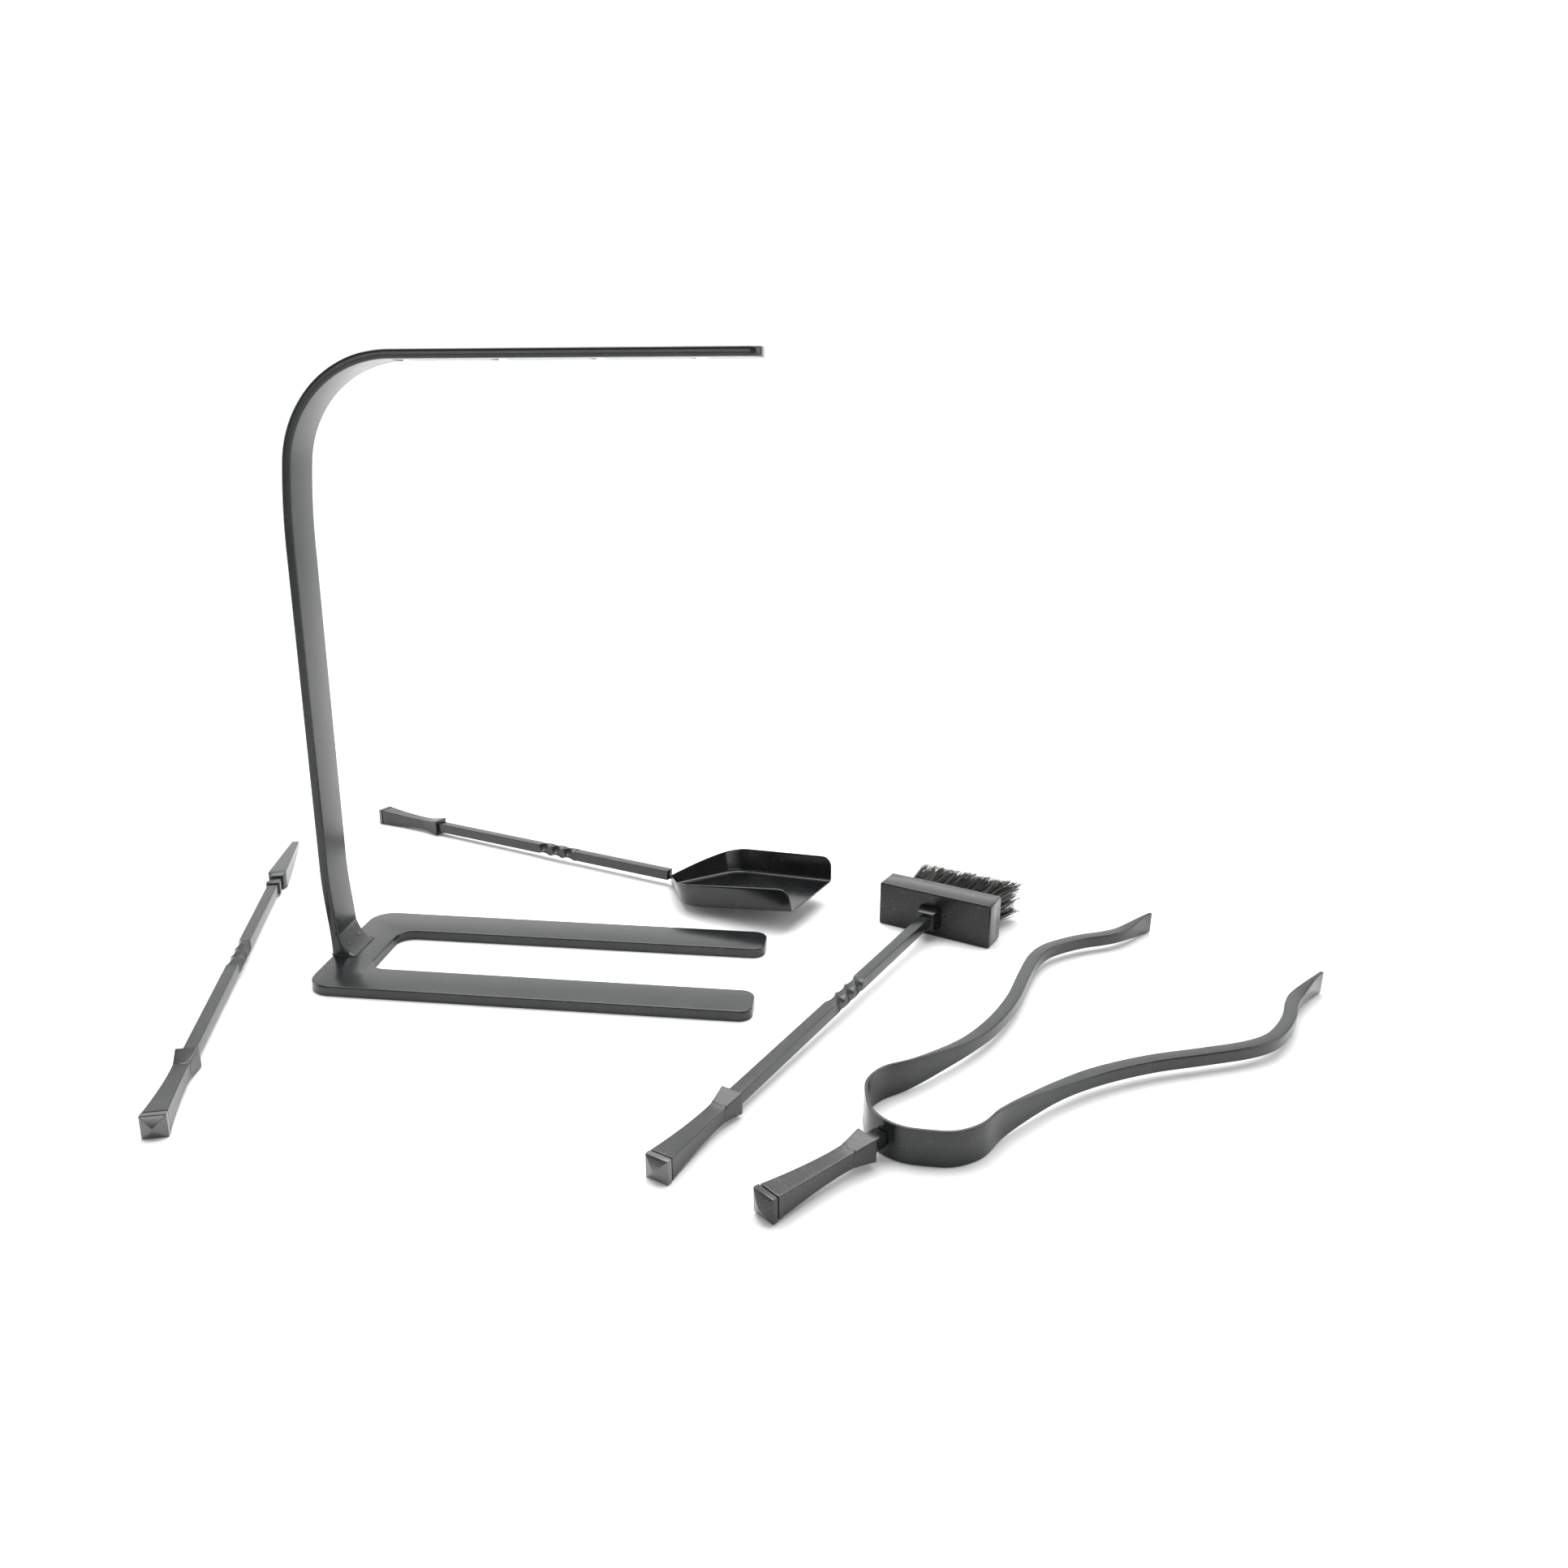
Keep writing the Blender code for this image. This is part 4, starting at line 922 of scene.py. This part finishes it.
def smooth_line(knots, steps):
    """A Catmull-Rom curve through the knots, mirrored past the first knot and carried on past the last."""
    first, last = knots[1] * [1, -1], 2 * knots[-1] - knots[-2]
    k = np.concatenate([[first], knots, [last]])
    p0, p1, p2, p3 = (k[i : len(k) - 3 + i, None] for i in range(4))
    t = (np.arange(steps) / steps)[None, :, None]
    line = 0.5 * (2 * p1 + (p2 - p0) * t + (2 * p0 - 5 * p1 + 4 * p2 - p3) * t**2
                  + (3 * p1 - p0 - 3 * p2 + p3) * t**3)
    return np.concatenate([line.reshape(-1, 2), knots[-1:]])


def ease(x, start, end):
    """0 before start, 1 after end, 3t^2 - 2t^3 between."""
    t = np.clip((x - start) / (end - start), 0, 1)
    return t * t * (3 - 2 * t)


def strap(side):
    """One half of the tongs: rounded rectangles across the line, from the bow's middle to the tip."""
    line = smooth_line(KNOTS, 12)
    ahead = np.gradient(line, axis=0)
    ahead[0] = (0.0, 1.0)
    ahead /= np.hypot(*ahead.T)[:, None]
    normal = np.stack([-ahead[:, 1], ahead[:, 0]], 1)
    x = line[:, 0]
    thick = STRAP_THICK + (ARM_THICK - STRAP_THICK) * ease(x, *THICKENS)
    tall = STRAP_TALL + (ARM_TALL - STRAP_TALL) * ease(x, *NARROWS)
    flat = ease(x, *FLATTENS)
    thick, tall = thick + (TIP_THICK - thick) * flat, tall + (TIP_TALL - tall) * flat
    radius = 0.0007 + 0.0007 * ease(x, *ROUNDS) - 0.0004 * flat
    q = np.linspace(0, np.pi / 2, 4)[1:]
    tip = line[-1] - ahead[-1] * TIP_EDGE * (1 - np.sin(q))[:, None]
    less = TIP_EDGE * (1 - np.cos(q))
    line = np.concatenate([line[:-1], line[-1:] - ahead[-1] * TIP_EDGE, tip])
    thick, tall, radius, normal = (np.concatenate([k, np.repeat(k[-1:], len(q), 0)])
                                   for k in (thick, tall, radius, normal))
    thick[-len(q):] -= 2 * less
    tall[-len(q):] -= 2 * less
    uv = rounded_rings(thick / 2, tall / 2, radius)
    points = np.empty(uv.shape[:2] + (3,))
    points[..., 0] = line[:, 0, None] + uv[..., 0] * normal[:, 0, None]
    points[..., 1] = side * (line[:, 1, None] + uv[..., 0] * normal[:, 1, None])
    points[..., 2] = uv[..., 1]
    return stack_rings("tongs_strap_" + ("left" if side > 0 else "right"), placed(points, **TONGS), 40.0)


# %% Both halves
BEND_START, BEND_END = (0.146, 0.0325, 0.0), (0.186, 0.0560, 0.0)
halves = ((1, "tongs_left", ("tongs_bow", "tongs_arm_left")), (-1, "tongs_right", ("tongs_arm_right",)))
for side, body, hidden in halves:
    half = strap(side)
    half.data.materials.append(satin_black)
    ends = placed(np.array([BEND_START, BEND_END]) * [1, side, 1], **TONGS)
    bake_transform(half)
    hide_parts(*hidden)
print("strap knots:", len(KNOTS))

# %% [markdown]
# ## Neck and rivet
# The neck is a short square bar between the collar and the bow, and one rivet goes through the strap into it.
# The rivet's head is a low dome on the inside of the bow.

# %% The neck
neck_x = np.array([GRIP_END - SOCKET, GRIP_END, NECK_END])
neck = straight_bar("tongs_neck_square", "tongs", neck_x, BAR_HALF, BAR_HALF, BAR_CORNER, BAR_END)
finish(neck, "tongs", satin_black, "tongs_neck")

STEM_RADIUS, STEM_LENGTH, DOME_RADIUS, DOME_HEIGHT, RIVET_GAP = 0.0026, 0.010, 0.0052, 0.0022, 0.0001


def rivet_head():
    """A stem and a domed head on the handle's axis, as rings of a turned profile."""
    face = BOW_AT + STRAP_THICK / 2
    t = np.linspace(0, np.pi / 2, 7)
    under = face + RIVET_GAP
    x = np.concatenate([[face - STEM_LENGTH, under, under], under + DOME_HEIGHT * np.sin(t)])
    dome_r = np.maximum(DOME_RADIUS * np.cos(t), LEAST_HALF)
    r = np.concatenate([[STEM_RADIUS, STEM_RADIUS, DOME_RADIUS], dome_r])
    turn = np.linspace(0, 2 * np.pi, 29)[:-1]
    points = np.stack([x[:, None] + 0 * turn, r[:, None] * np.cos(turn), r[:, None] * np.sin(turn)], -1)
    return stack_rings("tongs_rivet_domed", placed(points, **TONGS_HANDLE), 45.0)


finish(rivet_head(), "tongs", satin_black, "tongs_rivet")

# %% [markdown]
# ## Pieces kept from the frame
# The studs, the foot screws and the brush's block are inside other pieces. Their shapes are right as they are,
# so they keep their meshes and only get their finishes.

# %% Finishes for the kept nodes
kept = {name: screw_steel for name in nodes if name.endswith("_stud") or name.startswith("foot_screw")}
kept["brush_block"] = beech_wood
for name, material in kept.items():
    nodes[name].data.materials.clear()
    nodes[name].data.materials.append(material)
print("kept nodes:", sorted(kept))

# %% [markdown]
# ## Floor, light and camera
# The set stands on a white floor that curves up into a white wall, so that no horizon shows. One large soft
# light hangs overhead, a weaker one stands at each side, one washes the wall, and a low card in front puts
# a soft line on the arm's edge. The camera looks down at the set, with its frame shifted a little sideways.


# %% The sweep
def white_sweep():
    """A floor that turns up into a wall: a flat run, a quarter circle of radius 1.6 m and a straight rise."""
    t = np.linspace(0, np.pi / 2, 33)
    radius, reach, far, wall_top = 1.6, 40.0, 3.4, 7.0
    y = np.concatenate([[-reach], np.linspace(-2, far, 12), far + radius * np.sin(t)[1:], [far + radius]])
    z = np.concatenate([[0.0], np.zeros(12), radius * (1 - np.cos(t))[1:], [wall_top]])
    x = np.linspace(-reach, reach, 5)
    points = np.stack(np.broadcast_arrays(x[None], y[:, None], z[:, None]), -1)
    quads = grid_faces(len(y), len(x), close=False)
    return add_mesh("white_sweep", points.reshape(-1, 3), quads.tolist(), 80.0)


sweep = white_sweep()
paper, paper_shader, paper_place = new_material("sweep_paper", "", Metallic=0.0, Roughness=0.85)
connect(paper_shader, paper_place.noise(1.3, 2.0).mix((0.90, 0.90, 0.905), (0.93, 0.93, 0.932)))
sweep.data.materials.append(paper)


# %% Lights and world
def soft_light(name, at, aim, size, power, tall=None):
    """A rectangular area light at a point, turned to face another."""
    light = bpy.data.lights.new(name, "AREA")
    light.shape, light.size, light.size_y, light.energy = "RECTANGLE", size, tall or size, power
    obj = bpy.data.objects.new(name, light)
    bpy.context.scene.collection.objects.link(obj)
    direction = np.array(aim, float) - np.array(at, float)
    flat = np.hypot(direction[0], direction[1])
    obj.location = at
    tilt, heading = np.arctan2(direction[2], flat), np.arctan2(-direction[0], direction[1])
    obj.rotation_euler = (np.pi / 2 + tilt, 0, heading)


soft_light("overhead", (0.3, 0.9, 2.5), (0.35, 0.2, 0.0), 3.2, 128.0, 2.6)
soft_light("left_side", (-2.6, 0.3, 1.0), (0.2, 0.0, 0.3), 1.6, 34.0)
soft_light("right_side", (3.1, 0.2, 1.1), (0.4, 0.0, 0.2), 1.8, 24.0)
soft_light("wall_wash", (0.4, 2.4, 3.6), (0.4, 6.0, 1.4), 12.0, 270.0, 1.2)
soft_light("front_card", (0.1, -3.0, 0.95), (0.1, 0.0, 0.62), 3.4, 20.0, 0.7)

# The room is white, and darker behind the camera: its brightness rises smoothly with the direction's Y.
world = bpy.data.worlds.new("white_room")
world.use_nodes = True
background = world.node_tree.nodes["Background"]
background.inputs["Strength"].default_value = 0.60
sky = world.node_tree.nodes.new("ShaderNodeTexCoord")
direction = Socket(world.node_tree, sky.outputs["Generated"])
forward = direction.node("ShaderNodeSeparateXYZ", None, 1, Vector=direction)
ahead = forward.step(-0.85, 0.10).mix((0.30, 0.30, 0.31), (1.0, 1.0, 1.0))
world.node_tree.links.new(ahead.link, background.inputs["Color"])
bpy.context.scene.world = world
bpy.context.scene.view_settings.view_transform = "Standard"

# %% The camera
camera_data = bpy.data.cameras.new("camera")
camera_data.sensor_width, camera_data.lens = 36.0, 26.68
camera_data.shift_x, camera_data.shift_y = 0.0417, -0.0096
camera_data.clip_end = 60.0
camera = bpy.data.objects.new("camera", camera_data)
camera.location = (0.547, -1.137, 0.576)
camera.rotation_euler = np.radians((73.44, 0.0, 7.23))
bpy.context.scene.collection.objects.link(camera)
bpy.context.scene.camera = camera
print("camera at", tuple(round(v, 3) for v in camera.location))
